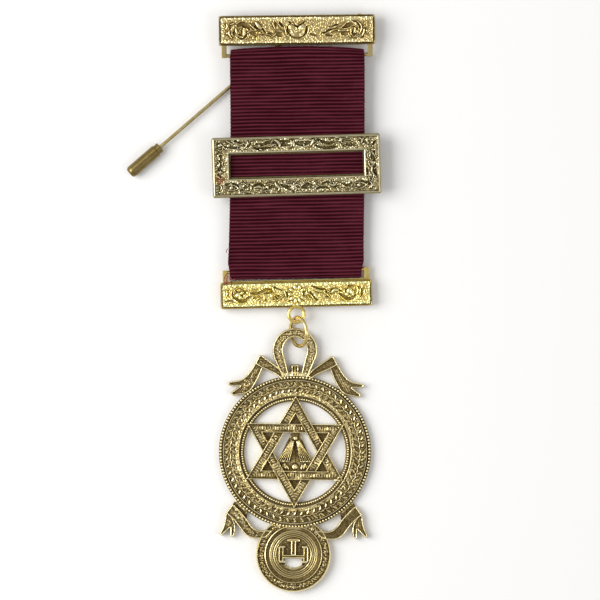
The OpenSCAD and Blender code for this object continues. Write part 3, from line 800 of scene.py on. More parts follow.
def gilt(name, light, dark, rough=0.26, depth=1.0, stain=None, stain_at=None):
    """Worn gilt: brown in its recesses, paler on its edges, with an uneven tone and a fine grain."""
    finish = Finish(name)
    where, recess = finish.own_places(), finish.recess()
    tone, speck = finish.noise(where, 420, 3), finish.noise(where, 2600, 3)
    hollow = finish.total(finish.ranged(recess, -0.05, 0.38), finish.ranged(speck, 0.53, 0.7, 0, 0.6))
    share = finish.ranged(hollow, 0.12, 1.15, 0, depth)
    pale = [min(1, c * 1.35 + 0.08) for c in light]
    deep = [c * s for c, s in zip(light, (0.84, 0.77, 0.6))]
    base = finish.blended(finish.ranged(tone, 0.35, 0.65), deep, light)
    base = finish.blended(finish.ranged(recess, -0.1, -0.6), base, pale)
    base = finish.blended(share, base, dark)
    if stain:
        middle = [c * MM for c in stain_at]
        reach = finish.node("VectorMath", {0: where, 1: middle}, operation="DISTANCE").outputs["Value"]
        uneven = finish.ranged(finish.noise(where, 900), 0.3, 0.7, -0.6, 0.4)
        patch = finish.total(finish.ranged(reach, 0.0003, 0.0024, 1, 0), uneven)
        base = finish.blended(finish.ranged(patch, 0.3, 0.9, 0, 0.75), base, stain)
    return finish.shade(
        {
            "Base Color": base,
            "Metallic": 1.0,
            "Roughness": finish.ranged(share, 0, 1, rough, min(0.7, rough + 0.3)),
            "Normal": finish.bump(finish.noise(where, 4200), 0.35, 0.00004),
        }
    )


def ribbon_cloth(settings):
    """Maroon grosgrain: cross ribs wrapped with fine lengthwise threads, with a soft silk sheen. The crests
    carry a painted highlight and the valleys painted shade.
    """
    finish = Finish("Ribbed Ribbon")
    places = finish.own_places()
    cloth = finish.node("UVMap", {}, uv_map=CLOTH_MAP).outputs["UV"]
    wave = {"Vector": cloth, "Scale": 1.15, "Distortion": 1.5, "Detail": 2, "Detail Scale": 1.5}
    threads = finish.node("TexWave", wave, bands_direction="X").outputs["Fac"]
    streaks = finish.node("Mapping", {"Vector": cloth, "Scale": (0.09, 1.1, 1)}).outputs["Vector"]
    # Painted shade: the valley share, read from the recess mark, darkens the valleys. Slow streaks and fine
    # noise add an uneven tone on top.
    depth = finish.total(
        finish.ranged(finish.recess(), 0, 1),
        finish.ranged(finish.noise(streaks, 1.0), 0.3, 0.7, -0.22, 0.22),
        finish.ranged(finish.noise(places, 130, 3), 0.3, 0.7, -0.12, 0.12),
    )
    return finish.shade(
        {
            "Base Color": finish.blended(finish.ranged(depth, 0, 1), settings.lit_crest, settings.shaded_valley),
            "Roughness": 0.55,
            "Specular IOR Level": 0.03,
            "Sheen Weight": 0.03,
            "Sheen Roughness": 0.4,
            "Sheen Tint": (0.8, 0.3, 0.4, 1),
            "Normal": finish.bump(threads, 0.5, 0.00005),
        }
    )


def loose_thread():
    """Bright maroon thread."""
    return Finish("Loose Thread").shade({"Base Color": (0.27, 0.03, 0.05, 1), "Roughness": 0.6})


def floor_paper(settings):
    """Plain pale floor with the faintest unevenness."""
    finish = Finish("Pale Floor")
    uneven = finish.noise(finish.own_places(), 30, 3)
    base = finish.blended(uneven, [c * 0.99 for c in settings.floor], settings.floor)
    return finish.shade({"Base Color": base, "Roughness": 0.8})


# Bars


def bar_heights(inward, field):
    """A bar's levels from its edge inwards: a step with a fine line, a groove, a thin rim and the field."""
    step = 1.3
    top = np.maximum(step - 0.1 * (1 - rise(inward, 0, 0.12)), ridge(inward, 0.2, 0.2, 0.14, step))
    top = np.maximum(top, ridge(inward, -0.16, 0.24, 0.14, 1.25))
    top = top + (field - top) * rise(inward, 0.4, 0.52)
    return np.maximum(top, ridge(inward, 0.6, 0.26, 0.03, 1.83))


def bar_plate(name, size, grain, seed, ornament, where, material, lip=0.0):
    """A bar's plate: its matted field with the ornament, and its stepped rim, which is as bright."""
    w, h = size
    x, y = grid_round(w, h, FINE_CELL, lip)
    inward = -box_edge(x, y, w, h, 0.4)
    f = Field(x, y)
    ornament(f)
    ground = grains(x, y, grain, seed) * 0.12 + grains(x, y, grain * 1.7, seed + 9) * 0.03
    top = bar_heights(inward, 1.85 + f.over(ground, 1.6))
    edge = -inward
    if lip:
        edge = np.minimum(edge, box_edge(x, y - lip / 2, w - 2.6, h + lip, 0.1))
    return relief(name, x, y, top, edge, where, material, patina=-0.6 * (1 - rise(inward, 0.3, 0.55)))


# Ornament of the bars and the slide frame. Hollows are (width, depth, points), raised lines (width, height,
# points) and bosses (x, y, radius, height).

BROOCH_HOLLOWS = (
    (1.0, 0.4, (-14.0, 1.1), (-13.0, 1.6), (-12.1, 1.4), (-11.4, 0.8)),
    (0.5, 0.5, (-12.9, 0.95), (-12.0, 0.75), (-11.2, 0.25)),
    (0.45, 0.4, (-10.0, 0.95), (-9.1, 0.35)),
    (0.42, 0.45, (-9.3, 1.7), (-8.4, 0.5), (-7.6, -0.35)),
    (0.9, 0.24, (-11.0, -0.6), (-10.1, -0.9), (-9.7, -1.4)),
    (0.4, 0.4, (-7.0, -0.75), (-5.8, -0.8)),
    (1.0, 0.22, (-4.8, -1.0), (-3.6, -1.3)),
    (0.4, 0.35, (-5.3, 2.0), (-4.9, 0.9)),
    (0.4, 0.35, (-4.2, 2.0), (-3.3, 0.8)),
    (0.36, 0.4, (-2.3, 0.8), (-2.15, -0.4), (-1.4, -1.5)),
    (0.36, 0.45, (2.35, 0.9), (2.2, -0.4), (1.5, -1.5)),
    (0.42, 0.45, (-1.9, 1.9), (-0.8, 1.35), (0.1, 0.75), (0.9, 1.3), (1.9, 2.0)),
    (0.4, 0.4, (-15.9, 1.0), (-15.9, 0.3)),
    (0.35, 0.4, (-15.1, -0.2), (-14.9, -1.2)),
    (0.5, 0.45, (-13.8, -0.9), (-13.2, -1.2)),
    (0.42, 0.35, (-14.0, -1.5), (-13.0, -2.0), (-12.2, -1.5), (-11.9, -0.8)),
    (0.45, 0.45, (5.7, -0.9), (6.8, -0.6), (7.4, -0.2), (8.3, 0.25)),
    (0.45, 0.4, (8.8, 0.9), (9.8, 1.15)),
    (1.1, 0.45, (10.9, 0.5), (12.0, 0.95), (13.1, 1.35)),
    (0.5, 0.4, (13.2, 2.0), (14.2, 1.75), (14.8, 1.0), (14.9, 0.2)),
    (0.4, 0.4, (13.1, -0.1), (13.2, -1.0), (13.8, -1.2), (14.2, -0.8)),
    (0.9, 0.22, (10.6, -0.9), (11.6, -1.1)),
    (0.4, 0.35, (6.8, -1.3), (8.4, -1.5)),
    (0.4, 0.35, (15.2, -2.0), (15.9, -1.7)),
    (0.6, 0.2, (3.2, -1.0), (4.6, -1.4)),
)
BROOCH_LINES = (
    (0.5, 0.38, (-16.8, 1.7), (-16.5, 1.0), (-17.0, 0.2)),
    (0.4, 0.36, (-15.9, 1.4), (-15.3, 1.6), (-14.7, 2.0)),
    (0.45, 0.38, (-16.1, 0.1), (-16.1, -0.9), (-15.4, -1.9)),
    (0.36, 0.36, (-15.5, -0.1), (-15.4, -0.9), (-14.8, -1.7)),
    (0.6, 0.42, (-14.5, 0.6), (-14.4, -0.2), (-14.2, -0.9)),
    (0.4, 0.4, (-13.7, 0.1), (-13.2, -0.5)),
    (0.95, 0.5, (-12.7, 0.2), (-12.5, -0.5), (-12.7, -1.2)),
    (0.3, 0.36, (-14.1, 0.5), (-13.3, 0.65), (-12.4, 0.4), (-12.0, -0.2)),
    (0.32, 0.38, (-14.5, 1.5), (-13.4, 2.15), (-12.2, 2.05)),
    (0.5, 0.52, (-11.8, 1.85), (-9.5, -0.1)),
    (1.0, 0.5, (-9.8, 1.9), (-9.1, 1.0), (-8.5, 0.4)),
    (0.36, 0.4, (-12.0, -0.8), (-11.5, -0.4), (-10.8, -0.05), (-9.8, -0.1)),
    (0.32, 0.36, (-9.4, -0.95), (-8.3, -0.8), (-7.3, -0.95), (-6.4, -1.2), (-5.8, -1.9)),
    (0.42, 0.42, (-4.9, -0.6), (-5.3, -1.1), (-6.0, -1.7)),
    (0.5, 0.42, (-4.9, -0.2), (-3.2, -0.3)),
    (0.4, 0.4, (-4.8, 1.9), (-4.2, 1.2), (-3.7, 0.5)),
    (0.4, 0.36, (-5.9, 2.0), (-5.5, 1.1), (-5.2, 0.3)),
    (0.4, 0.3, (-3.0, 1.2), (-2.75, 0.0), (-2.5, -1.1), (-1.8, -1.8)),
    (0.3, 0.42, (0.4, 1.3), (1.1, 1.75), (1.7, 2.1)),
    (0.3, 0.4, (-1.5, 1.7), (-0.4, 1.25)),
    (0.4, 0.28, (3.0, 1.0), (2.8, 0.0), (2.4, -1.2)),
    (0.42, 0.42, (6.6, -0.95), (7.9, -0.5), (8.8, -0.1), (9.8, 0.0)),
    (0.36, 0.42, (9.6, -0.3), (11.0, -0.32), (12.7, -0.25)),
    (0.45, 0.42, (7.2, 0.3), (8.2, 0.35), (9.0, 0.6), (9.9, 0.9)),
    (0.42, 0.42, (10.6, 0.4), (11.1, 1.0), (11.8, 1.6)),
    (0.48, 0.46, (14.2, 2.0), (15.0, 1.3), (15.35, 0.5), (15.2, -0.3), (14.8, -1.0)),
    (0.45, 0.42, (13.7, 0.5), (13.8, -0.1), (13.5, -0.9)),
    (0.3, 0.36, (12.4, 0.2), (13.1, 0.85), (13.9, 0.75), (14.4, 0.1)),
    (0.55, 0.42, (15.9, 0.2), (15.9, -0.6), (15.4, -1.6)),
    (0.36, 0.36, (16.5, 0.3), (16.6, -0.5), (16.9, -1.2)),
    (0.36, 0.36, (17.2, 1.7), (17.5, 0.8), (17.2, 0.1)),
    (0.36, 0.36, (16.1, 1.7), (15.9, 1.0)),
    (0.4, 0.38, (13.0, -1.6), (13.9, -1.8), (14.8, -1.4)),
    (0.45, 0.4, (12.2, -0.8), (12.4, -1.4), (12.9, -2.0)),
)
BROOCH_BOSSES = (
    (-1.35, 0.35, 0.5, 0.56), (1.45, 0.3, 0.5, 0.56), (0.1, -0.35, 0.45, 0.56), (-0.8, -1.0, 0.4, 0.5),
    (0.9, -1.0, 0.4, 0.5),
    (-8.8, -0.6, 0.38, 0.46), (-7.1, -0.55, 0.32, 0.42), (-16.5, -0.6, 0.4, 0.4), (8.0, -0.5, 0.38, 0.46),
    (10.0, -0.25, 0.36, 0.46), (12.1, -0.25, 0.36, 0.46), (9.1, 0.6, 0.36, 0.46), (7.5, 0.5, 0.3, 0.4),
)
LOWER_HOLLOWS = (
    (0.75, 0.5, (-14.9, -0.5), (-14.0, -1.05), (-13.0, -1.3), (-12.0, -1.1), (-11.4, -0.5), (-10.8, -0.3)),
    (0.3, 0.35, (-15.2, 0.9), (-15.15, 0.1), (-14.8, -0.6)),
    (0.3, 0.35, (-13.4, 0.9), (-13.0, 0.2), (-12.6, -0.5)),
    (0.3, 0.3, (-14.2, 1.1), (-13.8, 0.5)),
    (0.6, 0.35, (-10.9, 0.5), (-9.9, 0.4), (-8.9, 0.5), (-8.0, 0.9), (-7.1, 1.4), (-6.1, 1.3)),
    (0.4, 0.3, (-7.8, 0.3), (-6.8, 0.4), (-5.7, 0.6)),
    (0.36, 0.4, (-5.2, 1.9), (-4.6, 1.5), (-3.3, 1.0)),
    (0.9, 0.35, (-5.4, -1.0), (-4.8, -0.6), (-4.2, -0.3)),
    (0.4, 0.45, (-2.25, 0.6), (-2.1, -0.7)),
    (0.36, 0.4, (1.75, 0.7), (1.8, -0.5)),
    (0.4, 0.4, (3.3, 0.5), (4.2, -0.8), (5.1, -1.6)),
    (0.5, 0.45, (3.7, 1.8), (4.7, 1.5), (5.9, 1.15), (6.9, 0.95), (7.4, 0.2)),
    (0.4, 0.4, (7.0, -0.8), (7.9, -0.8)),
    (0.4, 0.35, (8.1, 0.9), (8.8, 1.2)),
    (0.4, 0.35, (10.1, 0.9), (10.7, 0.4)),
    (0.75, 0.5, (10.2, -0.1), (11.2, -0.8), (12.3, -1.3), (13.3, -1.15), (14.2, -0.5)),
    (0.5, 0.3, (12.3, 1.7), (13.6, 1.7)),
    (0.36, 0.32, (15.6, 0.9), (15.6, -0.2), (15.2, -1.0)),
    (0.45, 0.25, (-17.0, -1.3), (-15.6, -1.2), (-14.6, -1.6)),
    (0.4, 0.35, (-2.0, -1.7), (-1.4, -1.4)),
    (0.5, 0.3, (-10.2, -0.7), (-9.6, -0.6)),
    (0.5, 0.25, (-7.4, -1.0), (-7.0, -1.6)),
)
LOWER_LINES = (
    (0.3, 0.36, (-15.0, 0.2), (-14.6, 1.3), (-13.6, 1.9), (-12.6, 1.5), (-12.1, 0.6)),
    (0.32, 0.36, (-14.1, -1.75), (-12.7, -1.9), (-11.7, -1.5)),
    (0.6, 0.4, (-11.7, 0.9), (-11.5, 0.2)),
    (0.34, 0.34, (-10.9, 1.0), (-9.9, 1.1), (-8.9, 1.3)),
    (0.36, 0.36, (-10.6, 0.0), (-9.3, 0.0), (-8.2, 0.3), (-6.9, 0.9), (-5.9, 0.95)),
    (0.6, 0.5, (-5.7, 1.9), (-5.4, 1.2), (-5.2, 0.4)),
    (0.5, 0.42, (-2.8, 0.9), (-2.6, 0.1), (-2.4, -0.8)),
    (0.36, 0.4, (-2.9, -0.2), (-3.7, -0.8), (-4.6, -1.5)),
    (0.3, 0.36, (-5.6, -0.3), (-5.0, -0.9), (-4.6, -1.6)),
    (0.28, 0.36, (-5.1, 0.0), (-4.5, -0.5), (-4.1, -1.2)),
    (0.42, 0.42, (2.6, 1.2), (2.4, 0.5), (2.8, 0.1), (3.5, -0.4), (4.1, -1.2), (4.7, -1.8)),
    (0.36, 0.36, (2.4, -0.4), (3.0, -1.0), (3.2, -1.8)),
    (0.75, 0.46, (4.5, 0.9), (5.2, 0.7), (5.9, 0.45)),
    (0.4, 0.42, (5.9, 0.8), (6.7, 0.2), (7.4, -0.3), (8.2, -1.2)),
    (0.4, 0.4, (7.3, 0.7), (7.8, 0.3), (8.9, 0.0)),
    (0.36, 0.34, (5.0, 1.6), (6.3, 1.45)),
    (0.85, 0.48, (8.5, 0.4), (9.2, 0.75), (10.0, 0.7)),
    (0.3, 0.38, (10.3, -0.9), (11.3, -1.6), (12.4, -1.85), (13.4, -1.6)),
    (0.5, 0.42, (11.5, 0.9), (11.4, 0.2), (11.9, -0.4)),
    (0.5, 0.4, (14.4, 1.5), (14.6, 0.5), (14.3, -0.4)),
    (0.34, 0.34, (15.1, 1.5), (15.2, 0.4), (14.9, -0.6)),
    (0.34, 0.34, (16.1, 1.1), (16.2, 0.0), (15.8, -0.9)),
    (0.34, 0.34, (-16.6, 1.3), (-16.5, 0.3), (-16.8, -0.5)),
    (0.34, 0.34, (-15.8, 1.6), (-15.9, 0.6), (-15.8, -0.4)),
    (0.34, 0.3, (-9.4, -1.0), (-8.5, -0.5)),
    (0.34, 0.3, (-8.9, -1.4), (-7.9, -0.7)),
)
LOWER_BOSSES = (
    (-13.9, 0.1, 0.75, 0.46), (-12.9, 0.6, 0.5, 0.44), (-13.3, -0.5, 0.55, 0.42), (-12.3, -0.1, 0.45, 0.4),
    (12.6, 0.5, 0.8, 0.44), (13.2, 0.1, 0.6, 0.48), (12.0, -0.3, 0.55, 0.44), (13.5, -0.4, 0.4, 0.44),
)


def brooch_ornament(f):
    """Scroll roses, crossed blades, leaves, flutes and a heart-shaped blossom, as on the brooch bar."""
    for k in range(6):
        f.stroke([(-12.5 + 0.5 * k, -1.4), (-12.2 + 0.44 * k, -2.4)], 0.28, 0.28)
    sepals = ((128, 3.1, 1.5), (52, 3.2, 1.7), (100, 2.6, 1.0), (158, 2.3, 1.0), (22, 2.3, 1.0))
    for turn, long, wide in sepals:
        f.leaf(0.1, -1.5, turn, long, wide, 0.42, 0.0, 0.5)
    for x, y, r, turn in ((-1.15, 0.45, 1.05, 125), (1.2, 0.45, 1.05, 55), (0.05, -0.75, 1.4, 0)):
        f.drop(x, y, r, 0.34, 0.8, turn)
    f.draw(BROOCH_HOLLOWS, BROOCH_LINES, BROOCH_BOSSES)


def lower_ornament(f):
    """Roses over crescent hollows, a full centre rosette and leaf sprays, as on the lower bar."""
    middle = 0.3
    f.drop(middle, 0.0, 1.3, 0.26)
    for inner, (r, n, size, narrow) in enumerate(((1.6, 10, 0.72, 0.62), (0.72, 7, 0.42, 0.75))):
        for k in range(n):
            turn = 360 * (k + 0.4 * inner) / n
            a = math.radians(turn)
            f.drop(middle + r * math.cos(a), r * math.sin(a), size, 0.28 + 0.12 * inner, narrow, turn)
    f.drop(middle, 0.0, 0.4, 0.46)
    f.draw(LOWER_HOLLOWS, LOWER_LINES, LOWER_BOSSES)


def bracket(name, w, where, side, material):
    """The legs and the rod that carry the ribbon. side is +1 where the bar lies towards +Y."""
    leg_x, half = w / 2 - 1.2, 0.6
    y0, y1 = sorted((-0.5 * side, 3.9 * side))
    pieces = []
    for k, x in enumerate((-leg_x, leg_x)):
        low, high = (x - half, y0, -0.5), (x + half, y1, 0.5)
        pieces.append(block(f"{name}_leg{k}", low, high, 0.14, where, material))
    ends = [(x, 0, 0) for x in (-leg_x, -leg_x + 1, leg_x - 1, leg_x)]
    return [*pieces, tube(f"{name}_rod", ends, 0.45, material, 24, where=where)]


def make_brooch_bar(settings):
    """The brooch bar with its bracket and the boss for the pin."""
    material = gilt("Brooch Gilt", settings.top_gilt, (0.15, 0.1, 0.03))
    w, h, grain = settings.top_width / MM, settings.top_height / MM, settings.grain / MM
    plate = bar_plate("brooch_plate", (w, h), grain, 3, brooch_ornament, TOP_PLATE, material)
    pieces = [plate, *bracket("brooch", w, TOP_ROD, 1, material)]
    boss = [(-0.5, 5.95, z - TOP_ROD_HEIGHT) for z in (0.0, 0.12, 0.3, 2.6, 2.9)]
    pieces.append(tube("brooch_boss", boss, (2.15, 2.27, 2.3, 2.3, 2.3), material, 40, where=TOP_ROD))
    half_turn = [math.pi * k / 8 for k in range(9)]
    nub = [(14.9 + 0.9 * math.cos(a), 3.4 + 0.12 * math.sin(a), 1.5) for a in half_turn]
    radii = [0.05 + 0.12 * math.sin(a) for a in half_turn]
    pieces.append(tube("brooch_nub", nub, radii, material, 10, where=TOP_PLATE))
    finish_piece(joined(pieces, "brooch_bar"), "gilt", "top_bar")


def make_lower_bar(settings):
    """The lower bar with its bracket and the soldered eye."""
    material = gilt("Deep Gilt", settings.low_gilt, (0.24, 0.155, 0.025), 0.24, 0.9)
    w, h, grain = settings.low_width / MM, settings.low_height / MM, settings.grain / MM
    plate = bar_plate("lower_plate", (w, h), grain, 17, lower_ornament, LOW_PLATE, material, 0.3)
    eye = tube("lower_eye", circle_path(1.825, 72, EYE_PLACE), 0.43, material, 22, True)
    pieces = [plate, *bracket("lower", w, LOW_ROD, -1, material), eye]
    finish_piece(joined(pieces, "lower_bar"), "deep_gilt", "bottom_bar")


# Slide frame


SLIDE_HOLLOWS = (
    (0.55, 0.4, (-10.0, 4.5), (-8.6, 4.1), (-6.9, 4.35), (-5.2, 4.6)),
    (0.6, 0.4, (-9.4, 5.4), (-7.9, 5.3), (-6.2, 5.85), (-5.2, 5.6)),
    (0.5, 0.4, (-12.3, 5.7), (-11.4, 4.9), (-10.6, 5.7)),
    (0.8, 0.4, (-4.2, 4.9), (-2.9, 5.1), (-1.9, 5.0)),
    (0.6, 0.4, (-3.9, 5.9), (-2.6, 5.9), (-1.6, 5.7)),
    (1.2, 0.45, (0.1, 5.4), (1.6, 5.2), (3.2, 5.5)),
    (0.6, 0.4, (4.6, 4.7), (6.0, 4.2), (8.0, 4.0), (9.8, 4.3)),
    (0.6, 0.4, (5.2, 6.1), (6.6, 5.5), (8.0, 5.2), (9.0, 5.4)),
    (0.7, 0.35, (11.2, 4.4), (12.5, 4.6), (14.0, 4.5)),
    (0.6, 0.3, (-16.6, 5.0), (-15.0, 4.7), (-13.4, 4.6)),
    (0.5, 0.3, (14.9, 5.6), (16.2, 5.2)),
    (0.5, 0.35, (-14.6, 6.2), (-13.2, 6.0)),
    (0.7, 0.4, (-16.9, -4.0), (-15.4, -3.9), (-13.8, -4.6)),
    (0.7, 0.4, (-13.5, -5.6), (-12.0, -4.6), (-11.3, -4.1)),
    (0.5, 0.4, (-10.4, -4.5), (-9.0, -4.1), (-7.6, -4.7)),
    (0.7, 0.45, (-7.8, -5.6), (-6.2, -4.9), (-5.3, -4.7)),
    (0.7, 0.4, (-3.8, -4.4), (-2.4, -5.1), (-1.4, -5.5)),
    (1.3, 0.5, (1.4, -5.2), (2.6, -4.8), (3.6, -5.0)),
    (0.5, 0.4, (4.6, -5.6), (6.0, -5.2), (7.4, -5.5)),
    (0.6, 0.4, (6.0, -4.3), (7.6, -4.2), (9.4, -5.5)),
    (0.7, 0.4, (10.9, -4.6), (12.2, -5.0), (13.0, -4.4)),
    (0.6, 0.4, (14.3, -4.2), (16.4, -4.3), (17.2, -5.0)),
    (0.7, 0.5, (18.6, 2.9), (18.0, 1.7), (18.6, 0.6)),
    (0.7, 0.5, (18.7, -0.2), (18.6, -1.6), (18.9, -2.8)),
    (0.5, 0.4, (16.9, 2.9), (17.1, 1.6)),
    (0.5, 0.4, (16.7, -1.0), (16.9, -2.6)),
    (0.5, 0.4, (18.9, 5.4), (18.2, 4.5)),
    (0.6, 0.4, (-18.7, 3.4), (-17.7, 2.3), (-18.6, 1.2)),
    (0.7, 0.4, (-17.4, 0.8), (-18.3, -0.2), (-17.4, -1.2)),
    (0.5, 0.4, (-18.8, -1.5), (-18.0, -2.3)),
    (0.5, 0.35, (-18.7, 5.6), (-17.5, 5.6)),
)
SLIDE_LINES = (
    (0.34, 0.42, (-10.5, 5.3), (-9.6, 4.8), (-8.3, 4.7), (-7.0, 5.0), (-5.8, 5.3), (-4.4, 5.1)),
    (0.75, 0.5, (-5.1, 6.3), (-4.4, 5.9), (-3.8, 5.1), (-4.0, 4.5)),
    (0.34, 0.42, (3.9, 5.8), (5.2, 5.3), (6.8, 4.8), (8.1, 4.6), (9.2, 4.9), (9.8, 5.5)),
    (0.75, 0.5, (4.3, 6.2), (4.0, 5.5), (3.5, 4.7)),
    (0.36, 0.4, (10.6, 5.0), (11.6, 5.3), (12.8, 5.3), (14.1, 4.9)),
    (0.4, 0.4, (-18.0, 5.9), (-17.2, 4.9), (-16.4, 4.2)),
    (0.4, 0.4, (-16.6, 6.4), (-15.6, 5.8), (-14.8, 5.3)),
    (0.4, 0.4, (-14.2, 5.3), (-13.0, 5.4), (-12.2, 5.9)),
    (0.4, 0.4, (-12.4, 4.4), (-11.7, 5.1), (-11.3, 6.2)),
    (0.36, 0.36, (9.4, 6.5), (11.0, 6.2), (13.0, 6.3)),
    (0.4, 0.38, (14.8, 6.4), (15.7, 5.7), (15.5, 4.8)),
    (0.4, 0.38, (17.2, 6.3), (16.9, 5.4), (17.4, 4.6)),
    (0.42, 0.4, (-9.6, 6.0), (-10.4, 5.8), (-10.3, 5.2)),
    (0.36, 0.34, (-8.0, 6.4), (-6.7, 6.2), (-5.9, 6.4)),
    (0.4, 0.4, (-17.2, -4.8), (-15.6, -4.1), (-14.0, -4.9), (-15.5, -5.5), (-17.2, -4.8)),
    (0.36, 0.38, (-13.8, -4.1), (-12.6, -3.9), (-11.7, -4.6)),
    (0.36, 0.36, (-13.0, -5.7), (-11.8, -5.9), (-10.8, -5.5)),
    (0.44, 0.44, (-10.9, -4.3), (-10.9, -5.6)),
    (0.6, 0.4, (-10.2, -5.0), (-9.0, -4.7), (-8.2, -5.2)),
    (0.36, 0.36, (-8.4, -5.9), (-7.2, -5.7), (-6.4, -6.0)),
    (0.75, 0.5, (-5.2, -3.8), (-4.9, -4.5), (-4.2, -5.2), (-4.5, -5.8)),
    (0.36, 0.38, (-7.2, -4.2), (-6.2, -4.1), (-5.4, -4.4)),
    (0.4, 0.4, (-3.0, -4.5), (-2.2, -4.4), (-1.6, -4.9)),
    (0.4, 0.4, (-0.1, -4.3), (0.7, -4.9), (0.9, -5.6)),
    (0.36, 0.36, (1.6, -4.0), (2.6, -3.9), (3.4, -4.3)),
    (0.4, 0.4, (4.7, -4.3), (5.6, -4.8), (7.2, -4.9)),
    (0.6, 0.42, (7.6, -4.4), (8.6, -4.9), (9.4, -4.4)),
    (0.44, 0.44, (10.3, -4.3), (10.2, -5.7)),
    (0.36, 0.38, (11.2, -5.7), (12.2, -5.6), (13.0, -5.3)),
    (0.4, 0.4, (12.9, -5.0), (14.6, -4.3), (16.4, -5.0), (14.7, -5.8), (12.9, -5.0)),
    (0.4, 0.4, (17.0, -4.0), (17.8, -4.8), (17.6, -5.9)),
    (
        0.5, 0.48,
        (18.3, 1.0), (17.2, 0.6), (17.3, -0.3), (17.9, -0.9), (17.8, -1.8), (18.3, -2.8), (17.9, -3.8),
    ),
    (0.4, 0.42, (17.7, 3.1), (18.4, 2.2), (18.9, 1.1)),
    (0.4, 0.42, (18.6, 4.4), (18.0, 3.8), (17.2, 3.7)),
    (0.36, 0.4, (17.2, 2.7), (16.9, 1.7), (17.4, 1.3)),
    (0.36, 0.4, (18.9, -0.9), (18.4, -1.3)),
    (0.36, 0.4, (17.0, -3.0), (17.4, -4.0)),
    (0.4, 0.44, (-18.9, 4.6), (-18.0, 4.0), (-17.3, 4.2)),
    (0.4, 0.44, (-18.8, 2.7), (-18.0, 3.3), (-17.2, 2.9)),
    (0.4, 0.44, (-18.9, 1.8), (-18.2, 1.0), (-18.6, 0.0)),
    (0.4, 0.44, (-17.2, 1.8), (-17.6, 0.9), (-17.2, 0.1)),
    (0.4, 0.44, (-18.8, -0.6), (-18.1, -1.2), (-17.3, -0.9)),
    (0.4, 0.42, (-18.9, -2.6), (-18.1, -3.1), (-17.2, -2.6)),
    (0.4, 0.42, (-18.7, -4.0), (-17.9, -4.6), (-18.3, -5.5)),
)
SLIDE_BOSSES = (
    (-18.1, 5.3, 0.5, 0.44), (-16.0, 5.2, 0.5, 0.4), (-13.6, 6.4, 0.45, 0.4), (-0.8, 5.3, 0.45, 0.5),
    (-15.6, -4.8, 0.55, 0.46), (14.7, -5.0, 0.55, 0.46), (-0.8, -4.9, 0.45, 0.5), (3.9, -5.1, 0.4, 0.5),
    (10.7, 5.8, 0.5, 0.42), (8.7, 5.9, 0.4, 0.4), (16.1, 4.7, 0.4, 0.42), (-6.9, -4.9, 0.35, 0.4),
    (6.2, -5.9, 0.4, 0.38), (1.4, 6.5, 0.4, 0.36), (-2.4, 6.4, 0.4, 0.36),
)


def slide_ornament(f):
    """Stems, leaves, buds and blossoms that run round the slide frame, with flutes under its window."""
    for k in range(43):
        f.stroke([(-13.2 + 0.5 * k, -3.35), (-13.1 + 0.5 * k, -3.85)], 0.26, 0.24)
    for y, turn in ((5.3, 0), (-4.9, 30)):
        for a in range(0, 360, 60):
            f.leaf(-0.8, y, a + turn, 1.15, 0.55, 0.4)
    f.draw(SLIDE_HOLLOWS, SLIDE_LINES, SLIDE_BOSSES)
    small_leaf_count = 230
    for across, up, turn in zip(*(chance(np.arange(small_leaf_count), 0, seed) for seed in (5, 6, 7))):
        f.leaf(-19.0 + 38.0 * across, -6.0 + 12.4 * up, 720 * turn, 0.7 + 0.3 * turn, 0.34, 0.3)


def slide_heights(outer, inner, ground):
    """The slide frame's levels: rims round its edge and its window, and the ground between them."""
    rim = 1.35
    top = ground + (rim - ground) * (1 - rise(outer, 0.3, 0.4))
    top = top + (rim - top) * (1 - rise(inner, 0.32, 0.42))
    top = np.maximum(top, ridge(outer, 0.5, 0.28, 0.07, rim))
    top = np.maximum(top, ridge(inner, 0.2, 0.3, 0.06, rim))
    top = top - 0.14 * (1 - rise(outer, 0, 0.12))
    return np.where(inner < 0, 0.5, top)


def make_slide_frame(settings):
    """The open slide frame with its plain posts and rear strap."""
    stain_at = (-17.9, 64.5, 5.2)
    material = gilt(
        "Pale Gilt", settings.gilt, (0.1, 0.076, 0.026), 0.24, 1.0, tuple(settings.stain), stain_at
    )
    w, h = settings.width / MM, settings.height / MM
    x, y = grid_round(w, h, 0.1)
    outer = -box_edge(x, y, w, h, 0.6)
    inner = box_edge(x - 0.05, y - 0.27, settings.window_width / MM, settings.window_height / MM, 0.15)
    edge = np.maximum(-outer, -inner - 0.4)
    f = Field(x, y)
    slide_ornament(f)
    mat = grains(x, y, 0.46, 41) * 0.15 + grains(x, y, 0.8, 45) * 0.05
    top = slide_heights(outer, inner, 1.13 + f.over(mat, 1.5))
    pieces = [relief("slide_plate", x, y, top, edge, ON_SLIDE, material, sharp=38)]
    post_in, post_out, half = 17.05, 18.25, 2
    boxes = [("slide_strap", -post_out, post_out, -3.3, -2.6)]
    for side in (-1, 1):
        boxes.append(("slide_post", *sorted((side * post_in, side * post_out)), -3.25, 0.1))
    for name, x0, x1, z0, z1 in boxes:
        pieces.append(block(name, (x0, -half, z0), (x1, half, z1), 0.16, ON_SLIDE, material))
    finish_piece(joined(pieces, "slide_frame_dressed"), "pale_gilt", "slide_frame")


# Ribbon


STRAY_THREADS = (
    ((-16.0, -0.9, 1.2), (-16.5, -1.6, 1.25), (-16.4, -2.4, 1.6), (-17.2, -3.2, 2.2)),
    ((-15.6, -1.2, 1.2), (-15.2, -1.9, 1.5), (-15.5, -2.6, 2.0), (-15.1, -3.6, 2.25)),
    ((-15.9, -1.4, 1.1), (-15.0, -1.8, 1.3), (-14.4, -1.6, 1.5)),
    ((-16.2, -0.2, 1.3), (-16.8, -1.0, 1.3), (-17.1, -2.0, 1.6), (-16.6, -2.7, 2.0)),
    ((-15.95, 5.6, 1.0), (-16.3, 5.2, 1.1), (-16.4, 4.6, 1.0)),
)


